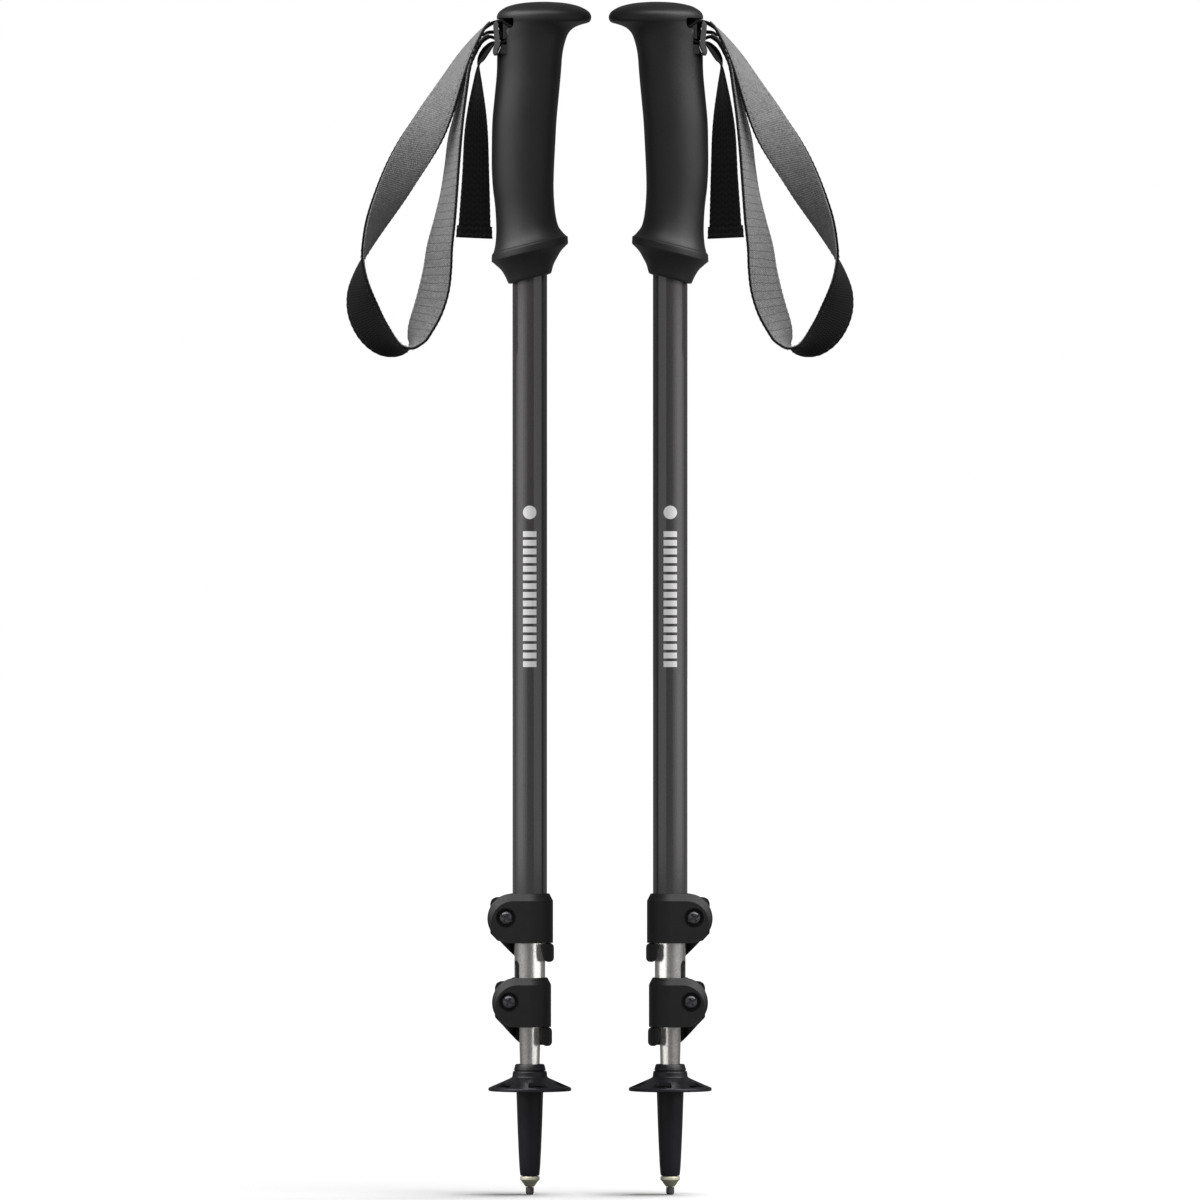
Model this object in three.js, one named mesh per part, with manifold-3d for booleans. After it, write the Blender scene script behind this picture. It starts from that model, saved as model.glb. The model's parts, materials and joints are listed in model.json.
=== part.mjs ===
// A pair of three-section trekking poles, collapsed, standing upright side by side on their tips.
// Millimetres, +Z up. The origin is on the ground, midway between the two tips, and the two poles are mirror
// images of each other about the plane x = 0. Each pole is drawn once, in its own frame: its axis is Z, +X is the
// side that the beak of the grip points to, -X the side that the wrist strap leaves from, and -Y the side that the
// heads of the clamp screws face.

import * as THREE from "three";
import { mergeVertices } from "three/addons/utils/BufferGeometryUtils.js";
import Module from "manifold-3d";

const wasm = await Module();
wasm.setup();

// ---- Driving dimensions -------------------------------------------------------------------------------------

const POLE_SPACING = 73; // between the axes of the two poles
const GAP = 0.3; // running or seating clearance between neighbouring pieces
const ROUND = 24; // sides of a tube, a collar or a basket
const MEDIUM_ROUND = 16; // sides of a plug, a ferrule or a screw's head
const SMALL_ROUND = 12; // sides of a pin, a screw or a hole for one

// The three tubes: outside radius, wall, and the heights of their ends while the pole is collapsed.
const WALL = 0.7;
const UPPER_TUBE = { radius: 9, bottom: 133.3, top: 585 };
const MIDDLE_TUBE = { radius: 8, bottom: 89.6, top: 575 };
const LOWER_TUBE = { radius: 7, bottom: 31, top: 555 };
const TAPER = { top: 139, bottom: 66, endRadius: 5.1 }; // the lower tube is swaged down towards the tip
const CLAMP_SLIT = { width: 1.6, length: 24 }; // lets a tube's end close on the tube inside it

// The lever locks. Each stands on the lower end of the tube that it is fixed to.
const LOCK_HEIGHT = 25.6;
const LIP_HEIGHT = 2.2; // the floor of a lock, which the end of the tube rests on
const UPPER_LOCK = { bottom: 130.8, tube: 9, inner: 8, screwX: -12.3, earTip: -22 };
const LOWER_LOCK = { bottom: 87.1, tube: 8, inner: 7, screwX: -10.8, earTip: -19.6 };
const SCREW_HEIGHT = 13.2; // of the screw's axis, above the bottom of its lock
const SCREW = { shank: 1.6, head: 3.6, headHeight: 2.3, counterbore: 5.1, depth: 3.2 };
const EAR_SLIT = 1.2; // half the gap between the two ears of a lock
const BARREL = { radius: 2.2, length: 16 };
const CAM_RADIUS = 3.7;
const CAM_THROW = 0.6; // how far the cam's centre is from the barrel that it turns on
const LEVER_TOP = 22.4; // above the bottom of the lock
const TAIL_DROP = 9.8; // how far the lever's finger tab hangs below the lock

// Basket, ferrule and tip, from the ground up.
const CARBIDE = { radius: 2.1, height: 4 };
const HOLDER = { coneTop: 7.4, flange: 5.1, flangeTop: 9.3 };
const FERRULE = { bottom: 9.6, waist: 7, stop: 64.3, top: 67.7 };
const BASKET = { radius: 21.6, bottom: 53.8, collarTop: 64, holes: 6 };

// Wrist strap.
const STRAP_WIDTH = 20;
const WEBBING = 1.1;
const LINING = 0.7;
const LINING_GAP = 0.3;
const STRAP_SLOT = { back: -6.2, halfWidth: 10.6, bottom: 592.8, top: 611.3 };
const STRAP_PIN = { x: -10.2, z: 604, radius: 1.9, halfLength: 11.9 };

// ---- Materials ----------------------------------------------------------------------------------------------

const paint = (color, roughness, metalness = 0) =>
  new THREE.MeshStandardMaterial({ color, roughness, metalness });

const MATERIAL = {
  gripRubber: paint(0x262525, 0.62),
  lockPlastic: paint(0x212121, 0.5),
  ferrulePlastic: paint(0x232226, 0.42),
  greyTube: paint(0x4b4a4b, 0.36, 0.75),
  bareTube: paint(0xb4b2ae, 0.3, 0.9),
  blackSteel: paint(0x1c1c1e, 0.3, 0.8),
  steel: paint(0x8d8d90, 0.35, 0.9),
  yellowZinc: paint(0xc9b677, 0.35, 0.8),
  carbide: paint(0x6b6767, 0.45, 0.7),
  blackWebbing: paint(0x1b1a1b, 0.9),
  greyLining: paint(0x757575, 0.9),
  nylon: paint(0x3a3a3c, 0.55),
};

// ---- Geometry helpers ---------------------------------------------------------------------------------------

// A geometry as a solid that can be cut and joined, and back again.
function solid(geometry) {
  const bare = geometry.clone();
  bare.deleteAttribute("normal");
  bare.deleteAttribute("uv");
  const merged = mergeVertices(bare, 1e-4);
  return new wasm.Manifold(
    new wasm.Mesh({
      numProp: 3,
      vertProperties: merged.attributes.position.array,
      triVerts: new Uint32Array(merged.index.array),
    }),
  );
}

function geometryOf(body) {
  const mesh = body.getMesh();
  const geometry = new THREE.BufferGeometry();
  geometry.setAttribute("position", new THREE.BufferAttribute(mesh.vertProperties, 3));
  geometry.setIndex(new THREE.BufferAttribute(mesh.triVerts, 1));
  geometry.computeVertexNormals();
  return geometry;
}

// Turns a profile of [radius, height] pairs about Z. The profile runs up the outside, then down the inside.
function turned(profile, sides = ROUND) {
  const points = profile.map(([radius, height]) => new THREE.Vector2(radius, height));
  return new THREE.LatheGeometry(points, sides).rotateX(Math.PI / 2);
}

// A ring or a tube: the profile closes on itself.
const ring = (profile, sides) => turned([...profile, profile[0]], sides);

const rod = (radius, from, to, sides = SMALL_ROUND) =>
  turned([[0, from], [radius, from], [radius, to], [0, to]], sides);

// A rod along Y through (x, z).
const crossRod = (radius, from, to, x, z, sides = SMALL_ROUND) =>
  rod(radius, from, to, sides).rotateX(-Math.PI / 2).translate(x, 0, z);

function block(x, y, z) {
  const size = [x, y, z].map(([from, to]) => to - from);
  const middle = [x, y, z].map(([from, to]) => (from + to) / 2);
  return new THREE.BoxGeometry(...size).translate(...middle);
}

// Extrudes an outline drawn in the XY plane from one height to another.
const plate = (shape, from, to, curveSegments = 12) =>
  new THREE.ExtrudeGeometry(shape, { depth: to - from, bevelEnabled: false, curveSegments })
    .translate(0, 0, from);

// Extrudes an outline drawn in the XZ plane from one y to another.
const sidePlate = (shape, from, to, curveSegments = 12) =>
  plate(shape, -to, -from, curveSegments).rotateX(Math.PI / 2);

const radians = THREE.MathUtils.degToRad;
const polar = (radius, degrees, x = 0, y = 0) =>
  new THREE.Vector2(x + radius * Math.cos(radians(degrees)), y + radius * Math.sin(radians(degrees)));

// A sector of a ring about Z, between two angles.
function sector(inner, outer, fromDegrees, toDegrees) {
  const shape = new THREE.Shape();
  shape.absarc(0, 0, outer, radians(fromDegrees), radians(toDegrees), false);
  shape.absarc(0, 0, inner, radians(toDegrees), radians(fromDegrees), true);
  return shape;
}

const polygon = (points) => new THREE.Shape(points.map(([x, y]) => new THREE.Vector2(x, y)));

// ---- Grip ---------------------------------------------------------------------------------------------------

// Rings of the grip, from its lower rim to the crown of its head. Each is an oval with a centre, a half width along
// X, a half depth along Y, and a rise: how much it climbs for each millimetre towards +X, because the collar slants.
const GRIP_RINGS = [
  { z: 475.9, x: 0, width: 9.5, depth: 9.5, rise: 0.25 },
  { z: 476.7, x: 0, width: 11.3, depth: 11.3, rise: 0.25 },
  { z: 480.1, x: -0.2, width: 12.5, depth: 12.4, rise: 0.25 },
  { z: 483.9, x: -0.2, width: 14.6, depth: 14.2, rise: 0.24 },
  { z: 486.8, x: -0.4, width: 16.9, depth: 16.2, rise: 0.24 },
  { z: 489.1, x: 0, width: 19.3, depth: 18.2, rise: 0.24 },
  { z: 490.6, x: 0, width: 19.9, depth: 18.7, rise: 0.24 },
  { z: 492.6, x: 0, width: 19.8, depth: 18.6, rise: 0.24 },
  { z: 494.1, x: 0, width: 18.9, depth: 17.6, rise: 0.23 },
  { z: 497.0, x: -0.5, width: 17.5, depth: 16.2, rise: 0.2 },
  { z: 501.5, x: -1.3, width: 16.2, depth: 15.0, rise: 0.12 },
  { z: 515.0, x: -2.7, width: 15.5, depth: 13.8, rise: 0 },
  { z: 523.0, x: -3.4, width: 15.8, depth: 13.8, rise: 0 },
  { z: 545.0, x: -3.3, width: 16.5, depth: 14.1, rise: 0 },
  { z: 558.0, x: -2.8, width: 16.7, depth: 14.3, rise: 0 },
  { z: 570.0, x: -1.7, width: 16.7, depth: 14.4, rise: 0 },
  { z: 593.0, x: 0, width: 17.0, depth: 14.9, rise: 0 },
  { z: 600.0, x: 0.9, width: 17.7, depth: 15.6, rise: 0 },
  { z: 604.0, x: 1.8, width: 18.5, depth: 16.4, rise: 0 },
  { z: 606.6, x: 3.2, width: 19.8, depth: 17.2, rise: 0 },
  { z: 608.2, x: 5.0, width: 21.6, depth: 18.0, rise: 0 },
  { z: 609.3, x: 6.9, width: 23.6, depth: 18.8, rise: 0 },
  { z: 611.0, x: 7.4, width: 24.4, depth: 19.4, rise: 0 },
  { z: 613.0, x: 7.4, width: 24.5, depth: 19.5, rise: 0 },
  { z: 615.3, x: 7.4, width: 22.9, depth: 18.2, rise: 0 },
  { z: 617.8, x: 7.2, width: 18.2, depth: 14.4, rise: 0 },
  { z: 619.4, x: 7.2, width: 10.5, depth: 8.3, rise: 0 },
  { z: 620.0, x: 7.2, width: 0, depth: 0, rise: 0 },
];

const GRIP_SIDES = 20;

function gripBlank() {
  const rings = [{ ...GRIP_RINGS[0], width: 0, depth: 0, rise: 0 }, ...GRIP_RINGS];
  const blank = turned(rings.map(({ width, z }) => [width, z]), GRIP_SIDES);
  const place = blank.attributes.position;
  for (let i = 0; i < place.count; i++) {
    const { x, z, width, depth, rise } = rings[i % rings.length];
    const across = place.getX(i);
    const deep = width ? (place.getY(i) * depth) / width : 0;
    place.setXYZ(i, x + across, deep, z + rise * across);
  }
  return solid(blank);
}

function grip() {
  const tubeSocket = rod(UPPER_TUBE.radius + GAP, 460, UPPER_TUBE.top + GAP, ROUND);
  const strapSlot = block(
    [-40, STRAP_SLOT.back],
    [-STRAP_SLOT.halfWidth, STRAP_SLOT.halfWidth],
    [STRAP_SLOT.bottom, STRAP_SLOT.top],
  );
  const { x, z, radius, halfLength } = STRAP_PIN;
  const pinHole = crossRod(radius + GAP, -halfLength - GAP, halfLength + GAP, x, z);
  return geometryOf(
    gripBlank().subtract(solid(tubeSocket)).subtract(solid(strapSlot)).subtract(solid(pinHole)),
  );
}

const strapPin = () => {
  const { x, z, radius, halfLength } = STRAP_PIN;
  return crossRod(radius, -halfLength, halfLength, x, z);
};

// ---- Wrist strap --------------------------------------------------------------------------------------------

// Bends a flat band along stations of [x, z, y, turn]. The band's width lies along Y where turn is 0, and faces -Y
// where turn is 90 degrees. `offset` moves the band off its own line, towards the outside of the loop.
function band(stations, width, thickness, offset, steps) {
  const line = new THREE.CatmullRomCurve3(stations.map(([x, z, y]) => new THREE.Vector3(x, y, z)));
  const turns = new THREE.CatmullRomCurve3(stations.map(([, , , turn]) => new THREE.Vector3(turn, 0, 0)));
  const inner = offset - thickness / 2;
  const outer = offset + thickness / 2;
  const corners = [[width / 2, inner], [-width / 2, inner], [-width / 2, outer], [width / 2, outer]];
  const points = [];
  const faces = [];
  for (let step = 0; step <= steps; step++) {
    const centre = line.getPoint(step / steps);
    const tangent = line.getTangent(step / steps);
    const turn = radians(turns.getPoint(step / steps).x);
    const sideways = new THREE.Vector3(-tangent.z, 0, tangent.x).normalize();
    const across = new THREE.Vector3(0, Math.cos(turn), 0).addScaledVector(sideways, Math.sin(turn));
    const outward = new THREE.Vector3().crossVectors(across, tangent).normalize();
    for (const [along, off] of corners) {
      points.push(...centre.clone().addScaledVector(across, along).addScaledVector(outward, off).toArray());
    }
  }
  // The inner and the outer face are split along the same diagonals, so that stacked bands stay apart.
  for (let step = 0; step < steps; step++) {
    const [a, b, c, d] = [0, 1, 2, 3].map((corner) => step * 4 + corner);
    faces.push(a, b, b + 4, a, b + 4, a + 4);
    faces.push(d, c + 4, c, d, d + 4, c + 4);
    faces.push(b, c + 4, b + 4, b, c, c + 4);
    faces.push(d, a + 4, d + 4, d, a, a + 4);
  }
  const end = steps * 4;
  faces.push(0, 2, 1, 0, 3, 2, end, end + 1, end + 2, end, end + 2, end + 3);
  const strip = new THREE.BufferGeometry();
  strip.setAttribute("position", new THREE.Float32BufferAttribute(points, 3));
  strip.setIndex(faces);
  return strip;
}

const LOOP_STEPS = 48;

// The loop for the wrist: out of the slot, down its outer leg, round the bottom and up its inner leg to the buckle.
const LOOP_ROUTE = [
  [-26.0, 603.6, 0, 6],
  [-30.7, 596.8, 0, 14],
  [-35.6, 588.6, -0.5, 22],
  [-39.9, 580.0, -1, 33],
  [-44.3, 571.0, -1.5, 48],
  [-49.0, 561.8, -2, 64],
  [-54.0, 552.2, -2, 78],
  [-59.6, 543.0, -1.5, 79],
  [-65.0, 533.8, -1, 72],
  [-70.0, 524.4, -0.5, 59],
  [-74.9, 515.1, 0, 45],
  [-79.6, 505.7, 0, 31],
  [-83.5, 496.3, 0, 16],
  [-86.6, 487.0, 0, 0],
  [-88.2, 477.5, 0, -20],
  [-88.2, 468.0, 0, -42],
  [-86.0, 458.5, 0, -58],
  [-81.6, 449.6, 0, -57],
  [-75.3, 442.8, 0, -42],
  [-68.0, 439.5, 0, -17],
  [-62.0, 440.6, 0, 6],
  [-58.9, 445.4, 0, 30],
  [-56.3, 452.0, 0, 43],
  [-52.8, 460.5, 0, 51],
  [-49.9, 470.5, 0, 53],
  [-48.1, 481.0, 0, 48],
  [-46.4, 492.5, 0, 37],
  [-43.9, 506.5, 0.5, 29],
  [-41.6, 520.5, 1, 22],
  [-40.0, 534.5, 1, 19],
  [-38.3, 549.0, 1, 16],
  [-36.0, 562.0, 1, 12],
  [-33.2, 574.0, 0.5, 8],
  [-30.3, 585.0, 0, 4],
  [-26.7, 594.5, 0, 1],
  [-21.0, 601.9, 0, 0],
];

const TAIL_ROUTE = [
  [-20.9, 596.4, 0, 0],
  [-24.0, 591.5, 0, 0],
  [-26.0, 585.0, 0, 4],
  [-26.9, 574.0, 0, 16],
  [-27.2, 561.9, 0, 27],
  [-27.4, 549.4, 0, 35],
  [-27.5, 530.7, 0, 42],
  [-28.2, 512.0, 0, 51],
  [-28.7, 497.2, 0, 60],
];

// The webbing inside the slot: in over the top bar of the buckle, round the pin, and out again as the tail.
function pinTurn() {
  const { x, z, radius } = STRAP_PIN;
  const bend = radius + GAP + WEBBING / 2;
  const around = [80, 40, 0, -40, -80].map((angle) => {
    const point = polar(bend, angle, x, z);
    return [point.x, point.y, 0, 0];
  });
  return [[-19.3, 609.8, 0, 0], [-17.4, 610.3, 0, 0], [-14.4, 609.5, 0, 0], ...around,
    [-14.2, 598.3, 0, 0], [-17.2, 597.3, 0, 0], [-20.3, 596.9, 0, 0]];
}

// The sewn end of the loop: a closed turn of webbing round the middle bar of the buckle.
function sewnEnd() {
  const { x, z, radius } = BUCKLE.middle;
  const inside = radius + GAP;
  const outside = inside + WEBBING;
  const sleeve = crossRod(outside, -STRAP_WIDTH / 2, STRAP_WIDTH / 2, x, z);
  const stub = block([x - 3.9, x], [-STRAP_WIDTH / 2, STRAP_WIDTH / 2], [z - 1.1, z + 0.9]);
  const hole = crossRod(inside, -STRAP_WIDTH, STRAP_WIDTH, x, z);
  return geometryOf(solid(sleeve).add(solid(stub)).subtract(solid(hole)));
}

const HEM_LENGTH = 6;

function strapTail() {
  const tail = solid(band(TAIL_ROUTE, STRAP_WIDTH, WEBBING, 0, 16));
  const last = TAIL_ROUTE.at(-1);
  const turn = radians(last[3]);
  const hem = new THREE.BoxGeometry(2.6 * WEBBING, STRAP_WIDTH + 0.4, HEM_LENGTH)
    .rotateZ(-turn)
    .translate(last[0], 0, last[1] + HEM_LENGTH / 2 - 0.6);
  return geometryOf(tail.add(solid(hem)));
}

// A frame of three bars between two cheeks, which stands at the mouth of the slot and holds the webbing.
const BUCKLE = {
  cheek: 1.5,
  inside: STRAP_WIDTH / 2 + GAP,
  top: { x: -16.6, z: 607.6, radius: 1.2 },
  middle: { x: -15.9, z: 602.4, radius: 1.1 },
  bottom: { x: -17.1, z: 594.4, radius: 1.4 },
};

function buckle() {
  const { cheek, inside, top, middle, bottom } = BUCKLE;
  const outline = polygon([
    [bottom.x - 1.5, 593.0], [bottom.x + 1.4, 593.0], [-14.4, 597.0], [-14.7, 607.0], [-15.6, 609.0],
    [-17.2, 609.1], [-18.0, 607.8], [-17.6, 598.0], [bottom.x - 1.5, 595.6],
  ]);
  const near = solid(sidePlate(outline, -inside - cheek, -inside));
  const far = solid(sidePlate(outline, inside, inside + cheek));
  const bars = [top, middle, bottom].map(({ x, z, radius }) =>
    solid(crossRod(radius, -inside - cheek / 2, inside + cheek / 2, x, z, 12)),
  );
  return geometryOf(bars.reduce((frame, bar) => frame.add(bar), near.add(far)));
}

// ---- Tubes --------------------------------------------------------------------------------------------------

function straightTube({ radius, bottom, top }) {
  const bore = radius - WALL;
  return ring([[radius, bottom], [radius, top], [bore, top], [bore, bottom]]);
}

// A tube whose lower end is slit, on the side of the lock's ears.
function slitTube(tube) {
  const { width, length } = CLAMP_SLIT;
  const slit = block(
    [-tube.radius - 1, 0],
    [-width / 2, width / 2],
    [tube.bottom - 1, tube.bottom + length],
  );
  return geometryOf(solid(straightTube(tube)).subtract(solid(slit)));
}

function lowerTube() {
  const { radius, bottom, top } = LOWER_TUBE;
  const { endRadius } = TAPER;
  return ring([
    [endRadius, bottom], [endRadius, TAPER.bottom], [radius, TAPER.top], [radius, top],
    [radius - WALL, top], [radius - WALL, TAPER.top], [endRadius - WALL, TAPER.bottom],
    [endRadius - WALL, bottom],
  ]);
}

// The plug that closes the top of an inner tube and centres it in the tube around it.
function topPlug({ radius, top }) {
  const spigot = radius - WALL - GAP;
  const shoulder = radius + 0.05;
  return turned([
    [0, top - 12], [spigot, top - 12], [spigot, top + 0.1],
    [shoulder, top + 0.1], [shoulder, top + 3.8], [0, top + 3.8],
  ], MEDIUM_ROUND);
}

// ---- Lever lock ---------------------------------------------------------------------------------------------

// The lock is drawn with its bottom at z = 0.
const collarRadius = (lock) => lock.tube + 3.1;
const pivotY = (lock) => lock.tube + 1.8;
const earFace = (lock) => pivotY(lock) - CAM_THROW - CAM_RADIUS - GAP;

// The front ear is D-shaped: flat above and below, round at its tip.
function earOutline(lock, height) {
  const round = height / 2;
  const shape = new THREE.Shape();
  shape.moveTo(0, 0);
  shape.lineTo(0, height);
  shape.lineTo(lock.earTip + round, height);
  shape.absarc(lock.earTip + round, round, round, Math.PI / 2, Math.PI * 1.5, false);
  return shape;
}

function frontEar(lock) {
  const front = -collarRadius(lock);
  const bevel = { depth: 2.7, width: 3.7 };
  const body = sidePlate(earOutline(lock, LOCK_HEIGHT), front + bevel.depth, -EAR_SLIT, 6);
  const face = sidePlate(earOutline(lock, LOCK_HEIGHT), front, front + bevel.depth, 6);
  const place = face.attributes.position;
  for (let i = 0; i < place.count; i++) {
    if (place.getY(i) > front + bevel.depth / 2) continue;
    place.setZ(i, place.getZ(i) * (1 - bevel.width / LOCK_HEIGHT));
    place.setX(i, place.getX(i) * 0.97);
  }
  return solid(body).add(solid(face));
}

function backEar(lock) {
  const tip = lock.earTip + 1.4;
  const outline = polygon([
    [0, 0.8], [tip + 3.9, 0.8], [tip, 4.9], [tip, 19.4], [tip + 1.2, 21.6], [tip + 3.6, 22.6],
    [0, 24.4],
  ]);
  return solid(sidePlate(outline, EAR_SLIT, earFace(lock)));
}

function lockBody(lock) {
  const collar = collarRadius(lock);
  const shell = turned([
    [0, 0], [collar - 1.2, 0], [collar, 1.2], [collar, LOCK_HEIGHT - 3.7],
    [collar - 2.7, LOCK_HEIGHT], [0, LOCK_HEIGHT],
  ]);
  const leverBay = plate(sector(lock.tube + 1.65, lock.tube + 12, 32, 152), -1, LOCK_HEIGHT + 1, 8);
  const tubeSeat = rod(lock.tube + GAP, LIP_HEIGHT, LOCK_HEIGHT + 1, ROUND);
  const lipBore = rod(lock.inner + GAP, -1, LIP_HEIGHT + 1, ROUND);
  const slit = block([lock.earTip - 2, -lock.tube + 2], [-EAR_SLIT, EAR_SLIT], [-1, LOCK_HEIGHT + 1]);
  const screwHole = crossRod(SCREW.shank + GAP, -collar - 1, collar, lock.screwX, SCREW_HEIGHT);
  const counterbore = crossRod(
    SCREW.counterbore, -collar - 1, -collar + SCREW.depth, lock.screwX, SCREW_HEIGHT, MEDIUM_ROUND,
  );
  const cuts = [tubeSeat, lipBore, slit, screwHole, counterbore];
  const blank = solid(shell).add(frontEar(lock)).subtract(solid(leverBay)).add(backEar(lock));
  return geometryOf(cuts.reduce((body, cut) => body.subtract(solid(cut)), blank));
}

// The lever seen from above: a cam on the barrel, and an arm that wraps the back of the collar.
function leverArm(lock) {
  const inner = lock.tube + 1.95;
  const outer = lock.tube + 4.4;
  const x = lock.screwX;
  const y = pivotY(lock) - CAM_THROW;
  const shape = new THREE.Shape();
  shape.absarc(x, y, CAM_RADIUS, radians(-20), radians(90), true);
  shape.absarc(0, 0, outer, radians(105), radians(36), true);
  shape.absarc(0, 0, inner, radians(36), radians(131), false);
  return shape;
}

function lockLever(lock) {
  const pivot = { x: lock.screwX, y: pivotY(lock) };
  const arm = solid(plate(leverArm(lock), -TAIL_DROP, LEVER_TOP, 6));
  const tab = sector(lock.tube + 1.2, lock.tube + 3.6, -57, 40);
  const tail = solid(plate(tab, -TAIL_DROP, -0.5, 5));
  const heel = sidePlate(
    polygon([[lock.earTip - 9, 16], [lock.earTip - 9, -TAIL_DROP - 9], [-lock.tube + 4, -TAIL_DROP - 0.1],
      [-lock.tube + 0.7, -7]]),
    0, 40,
  );
  const barrelHole = rod(BARREL.radius + GAP, -30, 40).translate(pivot.x, pivot.y, 0);
  const fork = block(
    [lock.earTip - 10, pivot.x + 2.9],
    [0, 40],
    [SCREW_HEIGHT - SCREW.shank - 0.5, SCREW_HEIGHT + SCREW.shank + 0.5],
  );
  return geometryOf(
    arm.add(tail).subtract(solid(heel)).subtract(solid(barrelHole)).subtract(solid(fork)),
  );
}

// A cross dowel: the lever turns on it and the screw threads through it.
function lockBarrel(lock) {
  const middle = SCREW_HEIGHT;
  const dowel = rod(BARREL.radius, middle - BARREL.length / 2, middle + BARREL.length / 2)
    .translate(lock.screwX, pivotY(lock), 0);
  const thread = crossRod(SCREW.shank + GAP, -40, 40, lock.screwX, middle, 12);
  return geometryOf(solid(dowel).subtract(solid(thread)));
}

function lockScrew(lock) {
  const seat = -collarRadius(lock) + SCREW.depth - GAP;
  const { shank, head, headHeight } = SCREW;
  const end = pivotY(lock) + 1.7;
  const blank = turned([
    [0, -headHeight], [head * 0.62, -headHeight], [head * 0.9, -headHeight * 0.68], [head, -headHeight * 0.2],
    [head, 0], [shank, 0], [shank, end - seat - 0.6], [shank - 0.6, end - seat], [0, end - seat],
  ], MEDIUM_ROUND);
  const slotHalf = 0.45;
  const long = block([-2.1, 2.1], [-slotHalf, slotHalf], [-headHeight - 1, -headHeight + 1.3]);
  const wide = block([-slotHalf, slotHalf], [-2.1, 2.1], [-headHeight - 1, -headHeight + 1.3]);
  const screw = geometryOf(solid(blank).subtract(solid(long)).subtract(solid(wide)));
  return screw.rotateX(-Math.PI / 2).translate(lock.screwX, seat, SCREW_HEIGHT);
}

// ---- Basket, ferrule and tip ---------------------------------------------------------------------------------

function basket() {
  const { radius, bottom, collarTop, holes } = BASKET;
  const bore = FERRULE.waist + GAP;
  const dish = ring([
    [bore, bottom + 0.4], [radius - 0.4, bottom], [radius, bottom + 0.5], [radius - 0.2, bottom + 1.6],
    [16.6, bottom + 3.9], [11.2, bottom + 6.2], [8.9, bottom + 8.4], [8.6, collarTop], [bore, collarTop],
  ]);
  const hollow = turned([
    [bore + 1.6, bottom - 1], [radius - 1.6, bottom - 1], [radius - 1.6, bottom + 0.5],
    [bore + 1.6, bottom + 5.3], [bore + 1.6, bottom - 1],
  ]);
  const window = plate(sector(12.2, 17.4, -13, 13), bottom - 2, bottom + 12, 1);
  let body = solid(dish).subtract(solid(hollow));
  for (let i = 0; i < holes; i++) {
    body = body.subtract(solid(window.clone().rotateZ(((i + 0.5) / holes) * Math.PI * 2)));
  }
  return geometryOf(body);
}

// The basket slides up the ferrule as far as the ferrule's stop.
function ferrule() {
  const { bottom, waist, stop, top } = FERRULE;
  const tubeBore = TAPER.endRadius + GAP;
  const stemBore = 2 + GAP;
  return ring([
    [4.6, bottom], [5.1, bottom + 0.9], [5.45, bottom + 4.6], [6.3, 32.5], [waist, 53], [waist, stop],
    [8.3, stop], [7.4, top], [tubeBore, top], [tubeBore, LOWER_TUBE.bottom - GAP],
    [stemBore, LOWER_TUBE.bottom - GAP], [stemBore, bottom],
  ], MEDIUM_ROUND);
}

// The metal insert that carries the carbide: a stem pressed into the ferrule, a flange and a cone.
function tipHolder() {
  const { coneTop, flange, flangeTop } = HOLDER;
  const pocket = 1.2 + GAP;
  return turned([
    [0, flangeTop + 0.2], [pocket, flangeTop + 0.2], [pocket, CARBIDE.height], [2.4, CARBIDE.height],
    [4.5, coneTop], [flange, coneTop], [flange, flangeTop], [2, flangeTop], [2, 23], [0, 23],
  ], MEDIUM_ROUND);
}

function carbideTip() {
  const { radius, height } = CARBIDE;
  const stem = 1.2;
  return turned([
    [0, 0], [radius - 0.5, 0], [radius, 0.5], [radius, height - GAP], [stem, height - GAP], [stem, 8.9],
    [0, 8.9],
  ], SMALL_ROUND);
}

// ---- One pole ------------------------------------------------------------------------------------------------

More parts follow.
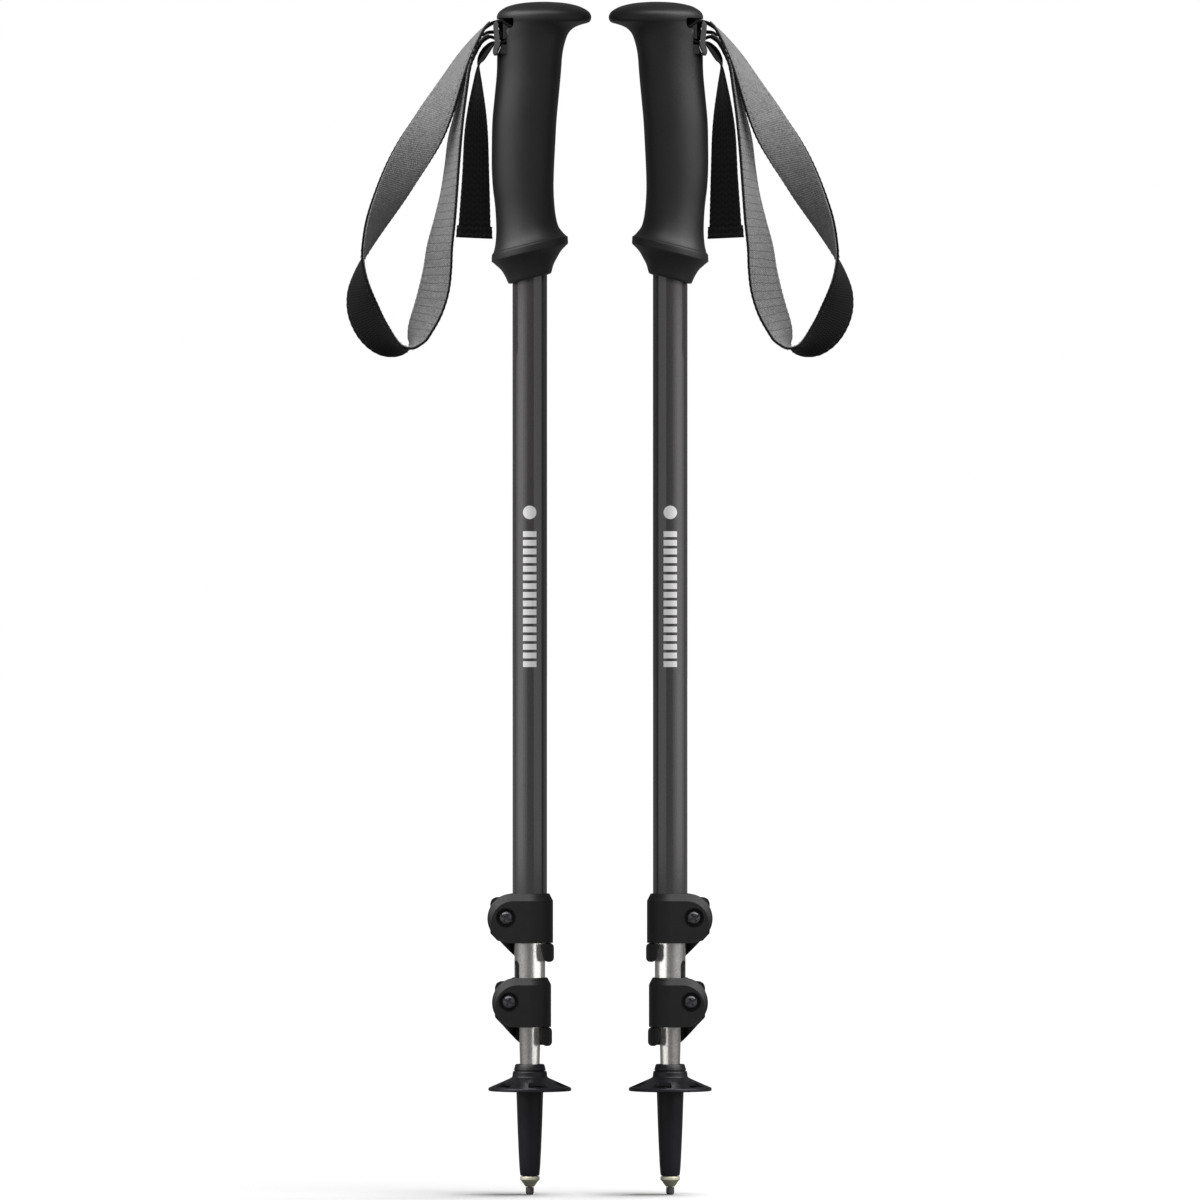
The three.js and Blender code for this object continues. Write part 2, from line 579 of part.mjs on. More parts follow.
function pole(side) {
  const group = new THREE.Group();
  const add = (name, geometry, material, z = 0) => {
    const mesh = new THREE.Mesh(geometry, material);
    mesh.name = `${side}_${name}`;
    mesh.position.z = z;
    group.add(mesh);
  };

  add("grip", grip(), MATERIAL.gripRubber);
  add("strap_pin", strapPin(), MATERIAL.steel);
  add("strap_buckle", buckle(), MATERIAL.nylon);
  add("strap_pin_turn", band(pinTurn(), STRAP_WIDTH, WEBBING, 0, 18), MATERIAL.blackWebbing);
  add("strap_sewn_end", sewnEnd(), MATERIAL.blackWebbing);
  const spread = (WEBBING + LINING) / 2 + LINING_GAP;
  add("strap_webbing", band(LOOP_ROUTE, STRAP_WIDTH, WEBBING, spread / 2, LOOP_STEPS), MATERIAL.blackWebbing);
  add("strap_lining", band(LOOP_ROUTE, STRAP_WIDTH - 1.4, LINING, -spread / 2, LOOP_STEPS), MATERIAL.greyLining);
  add("strap_tail", strapTail(), MATERIAL.blackWebbing);

  add("upper_shaft", slitTube(UPPER_TUBE), MATERIAL.greyTube);
  add("middle_shaft", slitTube(MIDDLE_TUBE), MATERIAL.bareTube);
  add("middle_shaft_plug", topPlug(MIDDLE_TUBE), MATERIAL.lockPlastic);
  add("lower_shaft", lowerTube(), MATERIAL.bareTube);
  add("lower_shaft_plug", topPlug(LOWER_TUBE), MATERIAL.lockPlastic);

  for (const [name, lock] of [["upper_lock", UPPER_LOCK], ["lower_lock", LOWER_LOCK]]) {
    add(`${name}_body`, lockBody(lock), MATERIAL.lockPlastic, lock.bottom);
    add(`${name}_lever`, lockLever(lock), MATERIAL.lockPlastic, lock.bottom);
    add(`${name}_barrel`, lockBarrel(lock), MATERIAL.steel, lock.bottom);
    add(`${name}_screw`, lockScrew(lock), MATERIAL.blackSteel, lock.bottom);
  }

  add("basket", basket(), MATERIAL.ferrulePlastic);
  add("tip_ferrule", ferrule(), MATERIAL.ferrulePlastic);
  add("tip_holder", tipHolder(), MATERIAL.yellowZinc);
  add("carbide_tip", carbideTip(), MATERIAL.carbide);
  return group;
}

const poles = new THREE.Group();
const left = pole("left");
left.position.x = -POLE_SPACING / 2;
const right = pole("right");
right.position.x = POLE_SPACING / 2;
right.scale.x = -1;
poles.add(left, right);

export default poles;
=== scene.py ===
"""Looks for a pair of collapsed trekking poles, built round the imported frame.

Every shape is drawn once, in millimetres, in the left pole's own frame: the pole's axis is Z, +X is the side of
the grip's beak, -X the side of the wrist strap, and -Y the front. It is then set out for both poles, in metres,
with the right one mirrored.
"""

import json
from math import cos, pi, radians, sin

import bmesh
import bpy
from bpy.props import FloatProperty, FloatVectorProperty, IntProperty, PointerProperty
from mathutils import Matrix, Vector

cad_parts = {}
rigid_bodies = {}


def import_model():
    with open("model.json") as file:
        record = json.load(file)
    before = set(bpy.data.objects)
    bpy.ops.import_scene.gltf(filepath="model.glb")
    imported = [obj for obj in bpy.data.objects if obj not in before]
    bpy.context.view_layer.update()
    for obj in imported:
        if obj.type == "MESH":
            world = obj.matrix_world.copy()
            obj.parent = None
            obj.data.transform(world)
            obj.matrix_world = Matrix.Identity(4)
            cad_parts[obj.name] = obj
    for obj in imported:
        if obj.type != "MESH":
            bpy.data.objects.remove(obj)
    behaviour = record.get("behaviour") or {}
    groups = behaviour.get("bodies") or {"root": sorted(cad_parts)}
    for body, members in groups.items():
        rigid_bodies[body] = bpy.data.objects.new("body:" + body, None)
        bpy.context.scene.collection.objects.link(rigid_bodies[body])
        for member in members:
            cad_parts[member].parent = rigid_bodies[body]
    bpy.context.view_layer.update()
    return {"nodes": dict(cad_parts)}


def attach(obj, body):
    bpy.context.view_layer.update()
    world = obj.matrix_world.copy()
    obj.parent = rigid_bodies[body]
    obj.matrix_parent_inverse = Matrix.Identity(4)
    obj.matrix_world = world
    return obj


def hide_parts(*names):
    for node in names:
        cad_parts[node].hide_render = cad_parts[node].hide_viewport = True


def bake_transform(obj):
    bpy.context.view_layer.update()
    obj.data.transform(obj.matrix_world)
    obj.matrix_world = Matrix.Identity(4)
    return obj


bl_info = {
    "name": "Trekking poles",
    "version": (1, 0, 0),
    "blender": (4, 5, 0),
    "location": "View3D > Sidebar > Poles",
    "description": "Builds a pair of collapsed trekking poles around their packed frame",
    "category": "Object",
}

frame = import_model()

MM = 0.001
HALF_SPACING = 36.5
SIDES = {"left": -1, "right": 1}
FULL_TURN = 2 * pi

# ---- Sizes and colours ----


def linear(code):
    """A six-digit sRGB colour as linear red, green and blue."""
    parts = [int(code[i : i + 2], 16) / 255 for i in (0, 2, 4)]
    return tuple(c / 12.92 if c <= 0.04045 else ((c + 0.055) / 1.055) ** 2.4 for c in parts)


def colour(name, code, description):
    return FloatVectorProperty(
        name=name, description=description, default=linear(code), subtype="COLOR", size=3, min=0, max=1
    )


class PoleColours(bpy.types.PropertyGroup):
    rubber: colour("Rubber", "131212", "Grip")
    lock: colour("Lock plastic", "181818", "Clamps and levers")
    ferrule: colour("Ferrule plastic", "1a181d", "Basket and ferrule")
    buckle: colour("Buckle", "444545", "Buckle frame")
    grey_tube: colour("Grey tube", "3d3a3a", "Anodising of the upper shafts")
    print: colour("Print", "e6e6e6", "Printed marks on the upper shafts")
    bare_tube: colour("Bare tube", "dedcd9", "Middle and lower shafts")
    webbing: colour("Webbing", "141213", "Outside of the wrist straps, and their tails")
    lining: colour("Lining", "797878", "Inside of the wrist straps")
    zinc: colour("Yellow zinc", "e4e0c6", "Tip holders")
    floor: colour("Floor", "f6f6f6", "Floor of the studio")


class PoleSizes(bpy.types.PropertyGroup):
    tube_steps: IntProperty(
        name="Tube steps", description="Faces round a shaft", default=72, min=24, max=160
    )
    small_steps: IntProperty(
        name="Small steps", description="Faces round a screw or a bar", default=32, min=12, max=96
    )
    edge: FloatProperty(
        name="Moulded edge", description="Radius along the edges of a moulding, in millimetres",
        default=0.28, min=0.05, max=1.0,
    )
    weave: FloatProperty(
        name="Weave pitch", description="Pitch of the webbing's ribs", default=0.0013, min=0.0005,
        max=0.005, subtype="DISTANCE", unit="LENGTH",
    )
    stitch: FloatProperty(
        name="Stitch length", description="Length of one stitch", default=0.0026, min=0.001, max=0.006,
        subtype="DISTANCE", unit="LENGTH",
    )


def sizes():
    return bpy.context.scene.pole_sizes


def colours():
    return bpy.context.scene.pole_colours


# ---- Materials ----


class Value:
    """A number that varies over a surface. Arithmetic on it adds Math nodes."""

    def __init__(self, finish, socket):
        self.finish, self.socket = finish, socket

    def _maths(self, operation, *numbers):
        return self.finish.add("ShaderNodeMath", {"operation": operation}, dict(enumerate(numbers)))

    def __add__(self, other):
        return self._maths("ADD", self, other)

    __radd__ = __add__

    def __sub__(self, other):
        return self._maths("SUBTRACT", self, other)

    def __rsub__(self, other):
        return self._maths("SUBTRACT", other, self)

    def __mul__(self, other):
        return self._maths("MULTIPLY", self, other)

    __rmul__ = __mul__

    def __lt__(self, other):
        return self._maths("LESS_THAN", self, other)

    def __gt__(self, other):
        return self._maths("GREATER_THAN", self, other)

    def __abs__(self):
        return self._maths("ABSOLUTE", self)

    def sine(self):
        return self._maths("SINE", self)

    def wave(self, pitch):
        """A sine that repeats once in every pitch."""
        return (self * (FULL_TURN / pitch)).sine()

    def wrap(self, period):
        """The distance past the last whole period."""
        return self._maths("WRAP", self, period, 0.0)

    def soft(self, low, high):
        """0 below low, 1 above high, and smooth between."""
        return self.finish.add(
            "ShaderNodeMapRange",
            {"interpolation_type": "SMOOTHSTEP"},
            {"Value": self, "From Min": low, "From Max": high},
        )


class Finish:
    """A material and the nodes in it."""

    def __init__(self, name, **constants):
        self.material = bpy.data.materials.new(name)
        self.material.use_nodes = True
        self.tree = self.material.node_tree
        self.shader = self.tree.nodes["Principled BSDF"]
        for socket, value in constants.items():
            self.shader.inputs[socket.replace("_", " ")].default_value = value

    def add(self, kind, settings=None, inputs=None, outputs=None):
        """Adds a node. Its settings come first, then the values or links of its sockets."""
        node = self.tree.nodes.new(kind)
        for key, value in (settings or {}).items():
            setattr(node, key, value)
        for key, value in (inputs or {}).items():
            self.put(node.inputs[key], value)
        if outputs:
            return [Value(self, node.outputs[key]) for key in outputs]
        return Value(self, next(out for out in node.outputs if out.enabled))

    def put(self, socket, value):
        if isinstance(value, Value):
            self.tree.links.new(value.socket, socket)
        elif isinstance(value, tuple) and len(value) == 3 and socket.type == "RGBA":
            socket.default_value = (*value, 1)
        else:
            socket.default_value = value

    def set(self, **inputs):
        for key, value in inputs.items():
            self.put(self.shader.inputs[key.replace("_", " ")], value)
        return self

    def place(self):
        """The point on the piece, in metres in the row frame."""
        return self.add("ShaderNodeTexCoord", outputs=["Object"])[0]

    def xyz(self, vector):
        return self.add("ShaderNodeSeparateXYZ", None, {"Vector": vector}, ["X", "Y", "Z"])

    def along_across(self):
        """How far along and across a band this point is, in metres, from its UV map."""
        uv = self.add("ShaderNodeUVMap", {"uv_map": "band"})
        return self.xyz(uv)[:2]

    def stretched(self, vector, scale):
        return self.add("ShaderNodeMapping", None, {"Vector": vector, "Scale": scale})

    def noise(self, vector, scale, detail=2.0, roughness=0.5):
        return self.add(
            "ShaderNodeTexNoise", None,
            {"Vector": vector, "Scale": scale, "Detail": detail, "Roughness": roughness},
        )

    def blend(self, factor, first, second):
        return self.add(
            "ShaderNodeMix", {"data_type": "RGBA"}, {"Factor": factor, 6: first, 7: second}, [2]
        )[0]

    def bump(self, height, distance, strength=1.0):
        return self.set(
            Normal=self.add(
                "ShaderNodeBump", None, {"Height": height, "Distance": distance, "Strength": strength}
            )
        )


def shade(base, factor):
    return tuple(min(1.0, c * factor) for c in base)


def moulded_rubber():
    finish = Finish("moulded_rubber", Specular_IOR_Level=0.5, Sheen_Weight=0.04, Sheen_Roughness=0.5)
    place = finish.place()
    base = tuple(colours().rubber)
    patches = finish.noise(place, 90, 3)
    grain = finish.noise(place, 2600, 2)
    skin = finish.noise(finish.stretched(place, (1, 1, 6)), 420, 2)
    finish.set(
        Base_Color=finish.blend(patches, shade(base, 0.82), shade(base, 1.22)),
        Roughness=0.4 + patches * 0.1 + grain * 0.08,
    )
    finish.bump(grain * 0.5 + skin * 0.5, 0.00012, 0.5)
    return finish.material


def moulded_nylon(name, base, roughness, grain_depth=0.00006):
    finish = Finish(name, Specular_IOR_Level=0.45)
    place = finish.place()
    grain = finish.noise(place, 3400, 1)
    patches = finish.noise(place, 160, 3)
    finish.set(
        Base_Color=finish.blend(patches, shade(base, 0.85), shade(base, 1.2)),
        Roughness=(roughness - 0.06) + patches * 0.07 + grain * 0.07,
    )
    finish.bump(grain, grain_depth, 0.6)
    return finish.material


# The print on the front of an upper shaft is a plain disc above a column of bars, in metres.
PRINT_FROM = 0.2742
PRINT_TO = 0.3461
PRINT_PITCH = 0.0045
PRINT_BAR = 0.003
PRINT_HALF_WIDTH = 0.0035
PRINT_DISC = 0.3545


def anodised(name, base, metallic, roughness, grain, depth, printed=None, coat=None):
    """A drawn and anodised tube: fine grain along it, and faint streaks."""
    finish = Finish(name, Metallic=metallic, **(coat or {}))
    place = finish.place()
    x, y, z = finish.xyz(place)
    streaks = finish.noise(finish.stretched(place, (1, 1, 0.02)), 1500, 3)
    speckle = finish.noise(place, grain, 2, 0.7)
    tone = finish.blend(speckle.soft(0.3, 0.7), shade(base, 0.86), shade(base, 1.1))
    rough = (roughness - 0.07) + streaks * 0.06 + speckle * 0.08
    if printed:
        across = abs(abs(x) - HALF_SPACING * MM)
        above = abs(z - PRINT_DISC)
        disc = (across * across + above * above) < PRINT_HALF_WIDTH**2
        bars = (across < PRINT_HALF_WIDTH) * ((z - PRINT_FROM).wrap(PRINT_PITCH) < PRINT_BAR) * (
            (z > PRINT_FROM) * (z < PRINT_TO)
        )
        ink = (y < 0.0) * (disc + bars)
        tone = finish.blend(ink, tone, printed)
        rough = rough * (1 - ink) + ink * 0.5
    finish.set(Base_Color=tone, Roughness=rough)
    finish.bump(speckle * 0.8 + streaks * 0.2, depth, 0.5)
    return finish.material


def plated(name, base, roughness, metallic=1.0):
    finish = Finish(name, Metallic=metallic)
    place = finish.place()
    wear = finish.noise(place, 700, 4)
    turning = finish.noise(finish.stretched(place, (0.15, 0.15, 3)), 900, 2)
    finish.set(
        Base_Color=finish.blend(wear, shade(base, 0.72), shade(base, 1.12)),
        Roughness=(roughness - 0.06) + wear * 0.12,
    )
    finish.bump(turning, 0.00004, 0.5)
    return finish.material


def woven(name, base, ribs, sheen):
    """Flat webbing: ribs across it, crossed by fine ends along it, with bound edges."""
    finish = Finish(name, Specular_IOR_Level=0.14, Sheen_Weight=sheen, Sheen_Roughness=0.45)
    along, across = finish.along_across()
    pitch = sizes().weave * ribs
    place = finish.place()
    fuzz = finish.noise(place, 1700, 3)
    rib = (along * (FULL_TURN / pitch) + across.wave(pitch * 1.7) * 1.1).sine()
    ends = across.wave(pitch * 0.8)
    height = 0.5 + rib * 0.32 + ends * 0.18 + (fuzz - 0.5) * 0.3
    tone = finish.blend(height.soft(0.1, 0.95), shade(base, 0.45), shade(base, 1.35))
    finish.set(Base_Color=tone, Roughness=0.78 + fuzz * 0.15)
    finish.bump(height, 0.00022, 0.8)
    return finish.material


# Distances along the lining, in metres. Past CREASED_FROM it comes back up to the buckle, and is creased, with
# painted shade in its creases.
PUCKER = 0.0042
TWILL = 0.0012
CREASED_FROM = 0.195
CREASES_FADE = 0.03


def lining():
    """Soft heathered tape: light and dark yarns in a fine twill, creased across, with painted shade in the
    creases.
    """
    finish = Finish("grey_lining", Specular_IOR_Level=0.2, Sheen_Weight=0.25, Sheen_Roughness=0.6)
    base = tuple(colours().lining)
    along, across = finish.along_across()
    place = finish.place()
    pitch = sizes().weave * 0.8
    cells = along.wave(pitch) * across.wave(pitch)
    heather = finish.noise(place, 900, 4, 0.7)
    slub = finish.noise(place, 160, 3)
    tone = finish.blend(heather.soft(0.32, 0.72), shade(base, 0.62), shade(base, 1.45))
    tone = finish.blend((cells * 0.5 + 0.5) * 0.45, tone, shade(base, 0.5))
    tone = finish.blend(slub.soft(0.35, 0.75) * 0.25, tone, shade(base, 1.5))
    pucker = (along + across * 0.12 + (slub - 0.5) * 0.0012).wrap(PUCKER)
    crease = abs(pucker - PUCKER / 2).soft(PUCKER * 0.37, PUCKER * 0.5)
    crease = crease * along.soft(CREASED_FROM, CREASED_FROM + CREASES_FADE)
    twill = (along + across * 0.8).wave(TWILL)
    # Painted shade: the colour darkens in the creases, as well as the bump that dents them.
    tone = finish.blend(crease * (slub.soft(0.3, 0.6) * 0.3 + 0.25), tone, shade(base, 0.3))
    tone = finish.blend((twill * 0.5 + 0.5) * 0.4, tone, shade(base, 0.4))
    finish.set(Base_Color=tone, Roughness=0.85 + heather * 0.1)
    finish.bump(twill * 0.4 + cells * 0.2 + heather * 0.5 - crease * 1.2, 0.0002, 0.9)
    return finish.material


def sintered():
    finish = Finish("carbide", Metallic=0.7)
    place = finish.place()
    grit = finish.noise(place, 2600, 4)
    finish.set(
        Base_Color=finish.blend(grit, linear("4c4a4a"), linear("8b8786")), Roughness=0.35 + grit * 0.25
    )
    finish.bump(grit, 0.00008, 0.8)
    return finish.material


MATERIALS = {}


def make_materials():
    paint = colours()
    MATERIALS.update(
        rubber=moulded_rubber(),
        lock=moulded_nylon("lock_plastic", tuple(paint.lock), 0.48),
        ferrule=moulded_nylon("ferrule_plastic", tuple(paint.ferrule), 0.36, 0.00004),
        buckle=moulded_nylon("buckle_nylon", tuple(paint.buckle), 0.42),
        grey_tube=anodised(
            "grey_anodised", tuple(paint.grey_tube), 0.35, 0.42, 1100, 0.00004, tuple(paint.print),
            {"Coat_Weight": 1.0, "Coat_Roughness": 0.09, "Coat_IOR": 1.75},
        ),
        bare_tube=anodised("bare_anodised", tuple(paint.bare_tube), 1.0, 0.3, 900, 0.00007),
        black_steel=plated("black_steel", linear("66666a"), 0.38, 0.6),
        steel=plated("bright_steel", linear("9a9a9c"), 0.3),
        zinc=plated("yellow_zinc", tuple(paint.zinc), 0.4, 0.35),
        carbide=sintered(),
        webbing=woven("black_webbing", tuple(paint.webbing), 1.0, 0.04),
        tail=woven("ribbed_webbing", tuple(paint.webbing), 2.4, 0.1),
        lining=lining(),
        thread=plated("dark_thread", linear("232223"), 0.75, 0.0),
        grey_thread=plated("grey_thread", linear("5a5959"), 0.8, 0.0),
    )


# ---- Shapes ----


def smooth_path(stations, between):
    """Points on a smooth curve through stations of any number of values, `between` steps to a span."""
    count = len(stations)
    out = []
    for i in range(count - 1):
        rows = [stations[max(0, i - 1)], stations[i], stations[i + 1], stations[min(count - 1, i + 2)]]
        for step in range(between):
            t = step / between
            weights = (
                (-t + 2 * t**2 - t**3) / 2,
                (2 - 5 * t**2 + 3 * t**3) / 2,
                (t + 4 * t**2 - 3 * t**3) / 2,
                (t**3 - t**2) / 2,
            )
            out.append([sum(w * row[k] for w, row in zip(weights, rows)) for k in range(len(stations[0]))])
    out.append(list(stations[-1]))
    return out


def outwards(bm):
    bmesh.ops.recalc_face_normals(bm, faces=bm.faces)
    return bm


def loft(rings, maps=None):
    """A closed skin through rings of points of one count, made by extruding the first ring.

    `maps` gives each ring point its (along, across) pair, for a woven band.
    """
    bm = bmesh.new()
    order = bm.verts.layers.int.new("order")
    first = []
    for i, point in enumerate(rings[0]):
        vert = bm.verts.new(point)
        vert[order] = i
        first.append(vert)
    edges = [bm.edges.new((first[i], first[(i + 1) % len(first)])) for i in range(len(first))]
    spots = {vert: (0, vert[order]) for vert in first}
    bm.faces.new(first).smooth = True
    for number, ring in enumerate(rings[1:], start=1):
        made = bmesh.ops.extrude_edge_only(bm, edges=edges)["geom"]
        edges = [g for g in made if isinstance(g, bmesh.types.BMEdge)]
        for g in made:
            if isinstance(g, bmesh.types.BMVert):
                g.co = ring[g[order]]
                spots[g] = (number, g[order])
    bmesh.ops.contextual_create(bm, geom=edges)
    if maps:
        uv = bm.loops.layers.uv.new("band")
        for face in bm.faces:
            for loop in face.loops:
                number, i = spots[loop.vert]
                loop[uv].uv = maps[number][i]
    return bm


def turned(profile, steps, centre=(0, 0), ring=False):
    """Spins a profile of (radius, height) pairs about an upright axis. A ring's profile is closed."""
    bm = bmesh.new()
    verts = [bm.verts.new((centre[0] + r, centre[1], z)) for r, z in profile]
    pairs = list(zip(verts, verts[1:]))
    if ring:
        pairs.append((verts[-1], verts[0]))
    edges = [bm.edges.new(pair) for pair in pairs]
    bmesh.ops.spin(
        bm, geom=verts + edges, cent=(*centre, 0), axis=(0, 0, 1), angle=FULL_TURN, steps=steps,
        use_merge=True, use_duplicate=False,
    )
    bmesh.ops.remove_doubles(bm, verts=bm.verts, dist=1e-4)
    return outwards(bm)


def rod(radius, low, high, steps, edge=0.0):
    if edge:
        profile = [(0, low), (radius - edge, low), (radius, low + edge), (radius, high - edge),
                   (radius - edge, high), (0, high)]
    else:
        profile = [(0, low), (radius, low), (radius, high), (0, high)]
    return turned(profile, steps)


def laid_along_y(bm, x, z):
    """Turns a shape drawn along Z to lie along Y, through (x, z)."""
    bm.transform(Matrix.Translation((x, 0, z)) @ Matrix.Rotation(-pi / 2, 4, "X"))
    return bm


def plate(outline, low, high, axis="Z"):
    """Extrudes an outline of (a, b) pairs. On axis Z they are x and y, and on axis Y they are x and z."""
    turn = {"Z": lambda a, b, c: (a, b, c), "Y": lambda a, b, c: (a, c, b)}[axis]
    return outwards(loft([[turn(a, b, c) for a, b in outline] for c in (low, high)]))


def block(x, y, z):
    bm = bmesh.new()
    bmesh.ops.create_cube(bm, size=1)
    size = Matrix.Diagonal((x[1] - x[0], y[1] - y[0], z[1] - z[0], 1))
    bm.transform(Matrix.Translation([(a + b) / 2 for a, b in (x, y, z)]) @ size)
    return bm


def arc(radius, start, end, steps, centre=(0, 0)):
    """Points on an arc, with its angles in degrees."""
    turns = [radians(start + (end - start) * i / steps) for i in range(steps + 1)]
    return [(centre[0] + radius * cos(t), centre[1] + radius * sin(t)) for t in turns]


def rounded(points, radius, steps=5):
    """A polygon's outline with its corners rounded."""
    out = []
    count = len(points)
    for i in range(count):
        before, here, after = (Vector(points[(i + k) % count]) for k in (-1, 0, 1))
        reach = min(radius, (before - here).length / 2.1, (after - here).length / 2.1)
        a = here + (before - here).normalized() * reach
        b = here + (after - here).normalized() * reach
        for step in range(steps + 1):
            t = step / steps
            out.append(tuple(a * (1 - t) ** 2 + here * 2 * t * (1 - t) + b * t**2))
    return out


def add_object(name, data):
    made = bpy.data.objects.new(name, data)
    bpy.context.scene.collection.objects.link(made)
    return made


def mesh_object(name, bm):
    mesh = bpy.data.meshes.new(name)
    bm.to_mesh(mesh)
    return add_object(name, mesh)


JOIN, CUT, KEEP_INSIDE = "UNION", "DIFFERENCE", "INTERSECT"


def carve(base, steps):
    """Adds shapes to a base or cuts it with them, in order. A step is (JOIN, CUT or KEEP_INSIDE, shape)."""
    made = mesh_object("carved", base)
    tools = []
    for operation, shape in steps:
        tool = mesh_object("tool", outwards(shape))
        tools.append(tool)
        modifier = made.modifiers.new("cut", "BOOLEAN")
        modifier.operation = operation
        modifier.solver = "EXACT"
        modifier.object = tool
        shape.free()
    graph = bpy.context.evaluated_depsgraph_get()
    result = bmesh.new()
    result.from_mesh(made.evaluated_get(graph).to_mesh())
    for o in (made, *tools):
        mesh = o.data
        bpy.data.objects.remove(o)
        bpy.data.meshes.remove(mesh)
    base.free()
    bmesh.ops.remove_doubles(result, verts=result.verts, dist=1e-3)
    return result


def soften(bm, width, angle=28):
    """Rounds the edges of a moulding that are sharper than an angle."""
    bmesh.ops.dissolve_limit(bm, angle_limit=radians(0.6), verts=bm.verts, edges=bm.edges)
    sharp = [e for e in bm.edges if e.is_manifold and e.calc_face_angle() > radians(angle)]
    bmesh.ops.bevel(
        bm, geom=sharp, offset=width, offset_type="OFFSET", segments=2, profile=0.5,
        affect="EDGES", clamp_overlap=True, material=-1,
    )
    bmesh.ops.triangulate(bm, faces=[f for f in bm.faces if len(f.verts) > 4])
    return bm


def put_on_poles(name, bm, material, body, replaced, crease=32, flats=False):
    """Sets a shape out on both poles, riding on that pole's body, and returns the two pieces by side.

    A piece with no body is left unattached. `crease` is the angle past which an edge stays sharp.
    """
    made = {}
    for side, sign in SIDES.items():
        copy = bm.copy()
        copy.transform(
            Matrix.Diagonal((-sign * MM, MM, MM, 1)) @ Matrix.Translation((-HALF_SPACING, 0, 0))
        )
        if sign > 0:
            bmesh.ops.reverse_faces(copy, faces=copy.faces)
        piece = mesh_object(f"{side}_{name}", copy)
        copy.free()
        mesh = piece.data
        mesh.shade_smooth()
        mesh.set_sharp_from_angle(angle=radians(crease))
        mesh.materials.append(MATERIALS[material])
        if flats:
            # Keeps the flat faces of a moulding flat beside its rounded edges.
            even = piece.modifiers.new("even", "WEIGHTED_NORMAL")
            even.weight = 60
            even.keep_sharp = True
        if body:
            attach(piece, f"{side}_{body}")
        if replaced:
            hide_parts(*[f"{side}_{node}" for node in replaced])
        made[side] = piece
    bm.free()
    return made


# ---- Grip ----

# Height, middle along X, half width along X, half depth along Y, and climb per millimetre towards +X.
GRIP_RINGS = [
    (475.9, 0, 9.6, 9.6, 0.25),
    (476.1, 0, 10.6, 10.6, 0.25),
    (476.7, 0, 11.3, 11.3, 0.25),
    (480.1, -0.2, 12.5, 12.4, 0.25),
    (483.9, -0.2, 14.6, 14.2, 0.24),
    (486.8, -0.4, 16.9, 16.2, 0.24),
    (489.1, 0, 19.3, 18.2, 0.24),
    (489.5, 0, 19.75, 18.6, 0.24),
    (490.1, 0, 19.9, 18.7, 0.24),
    (493.0, 0, 19.75, 18.6, 0.24),
    (493.6, 0, 19.45, 18.3, 0.24),
    (494.1, 0, 18.9, 17.7, 0.235),
    (497.0, -0.5, 17.5, 16.2, 0.2),
    (501.5, -1.3, 16.2, 15.0, 0.12),
    (507.5, -2.0, 15.6, 14.2, 0.05),
    (515.0, -2.7, 15.5, 13.8, 0),
    (523.0, -3.4, 15.8, 13.8, 0),
    (533.0, -3.6, 16.2, 13.9, 0),
    (545.0, -3.3, 16.5, 14.1, 0),
    (558.0, -2.8, 16.7, 14.3, 0),
    (570.0, -1.7, 16.7, 14.4, 0),
    (583.0, -0.5, 16.7, 14.5, 0),
    (593.0, 0, 17.0, 14.9, 0),
    (600.0, 0.9, 17.7, 15.6, 0),
    (604.0, 1.8, 18.5, 16.4, 0),
    (606.6, 3.2, 19.8, 17.2, 0),
    (608.2, 5.0, 21.6, 18.0, 0),
    (609.3, 6.9, 23.6, 18.8, 0),
    (610.4, 7.3, 24.3, 19.3, 0),
    (612.0, 7.4, 24.6, 19.5, 0),
    (613.6, 7.4, 24.2, 19.3, 0),
    (615.3, 7.4, 22.9, 18.2, 0),
    (617.6, 7.2, 18.9, 15.0, 0),
    (619.2, 7.2, 12.5, 9.9, 0),
    (619.9, 7.2, 5.5, 4.3, 0),
    (620.0, 7.2, 0.6, 0.5, 0),
]
GRIP_STEPS = 72
BETWEEN_RINGS = 3


def make_grip():
    rings = []
    for z, x, width, depth, climb in smooth_path(GRIP_RINGS, BETWEEN_RINGS):
        ring = []
        for i in range(GRIP_STEPS):
            turn = FULL_TURN * i / GRIP_STEPS
            across = width * cos(turn)
            ring.append((x + across, depth * sin(turn), z + climb * across))
        rings.append(ring)
    socket = turned([(0, 460), (9.3, 460), (9.3, 585.3), (0, 585.3)], 72)
    slot = plate(
        rounded([(-40, 592.6), (-6.2, 592.6), (-6.2, 611.2), (-40, 611.2)], 1.2), -10.7, 10.7, "Y"
    )
    side_scoop = plate(
        rounded([(-17, 604.4), (-10.4, 605.2), (-8.5, 606.8), (-8.3, 610.6), (-9.0, 611.2), (-17, 611.2)],
                1.0),
        -30, -9, "Y",
    )
    grip = carve(outwards(loft(rings)), [(CUT, socket), (CUT, slot), (CUT, side_scoop)])
    put_on_poles("rubber_grip", grip, "rubber", "upper", ["grip"], 40)


# ---- Wrist strap ----

STRAP_WIDTH = 20
LINING_WIDTH = STRAP_WIDTH - 0.9
WEBBING = 1.1
LINING = 0.7
# The pin across the slot and the buckle's three bars, each as x, z and radius.
PIN = (-10.2, 604, 1.9)
TOP_BAR = (-17.5, 607.5, 1.2)
MIDDLE_BAR = (-16.8, 602.6, 1.1)
BOTTOM_BAR = (-17.9, 593.9, 1.35)

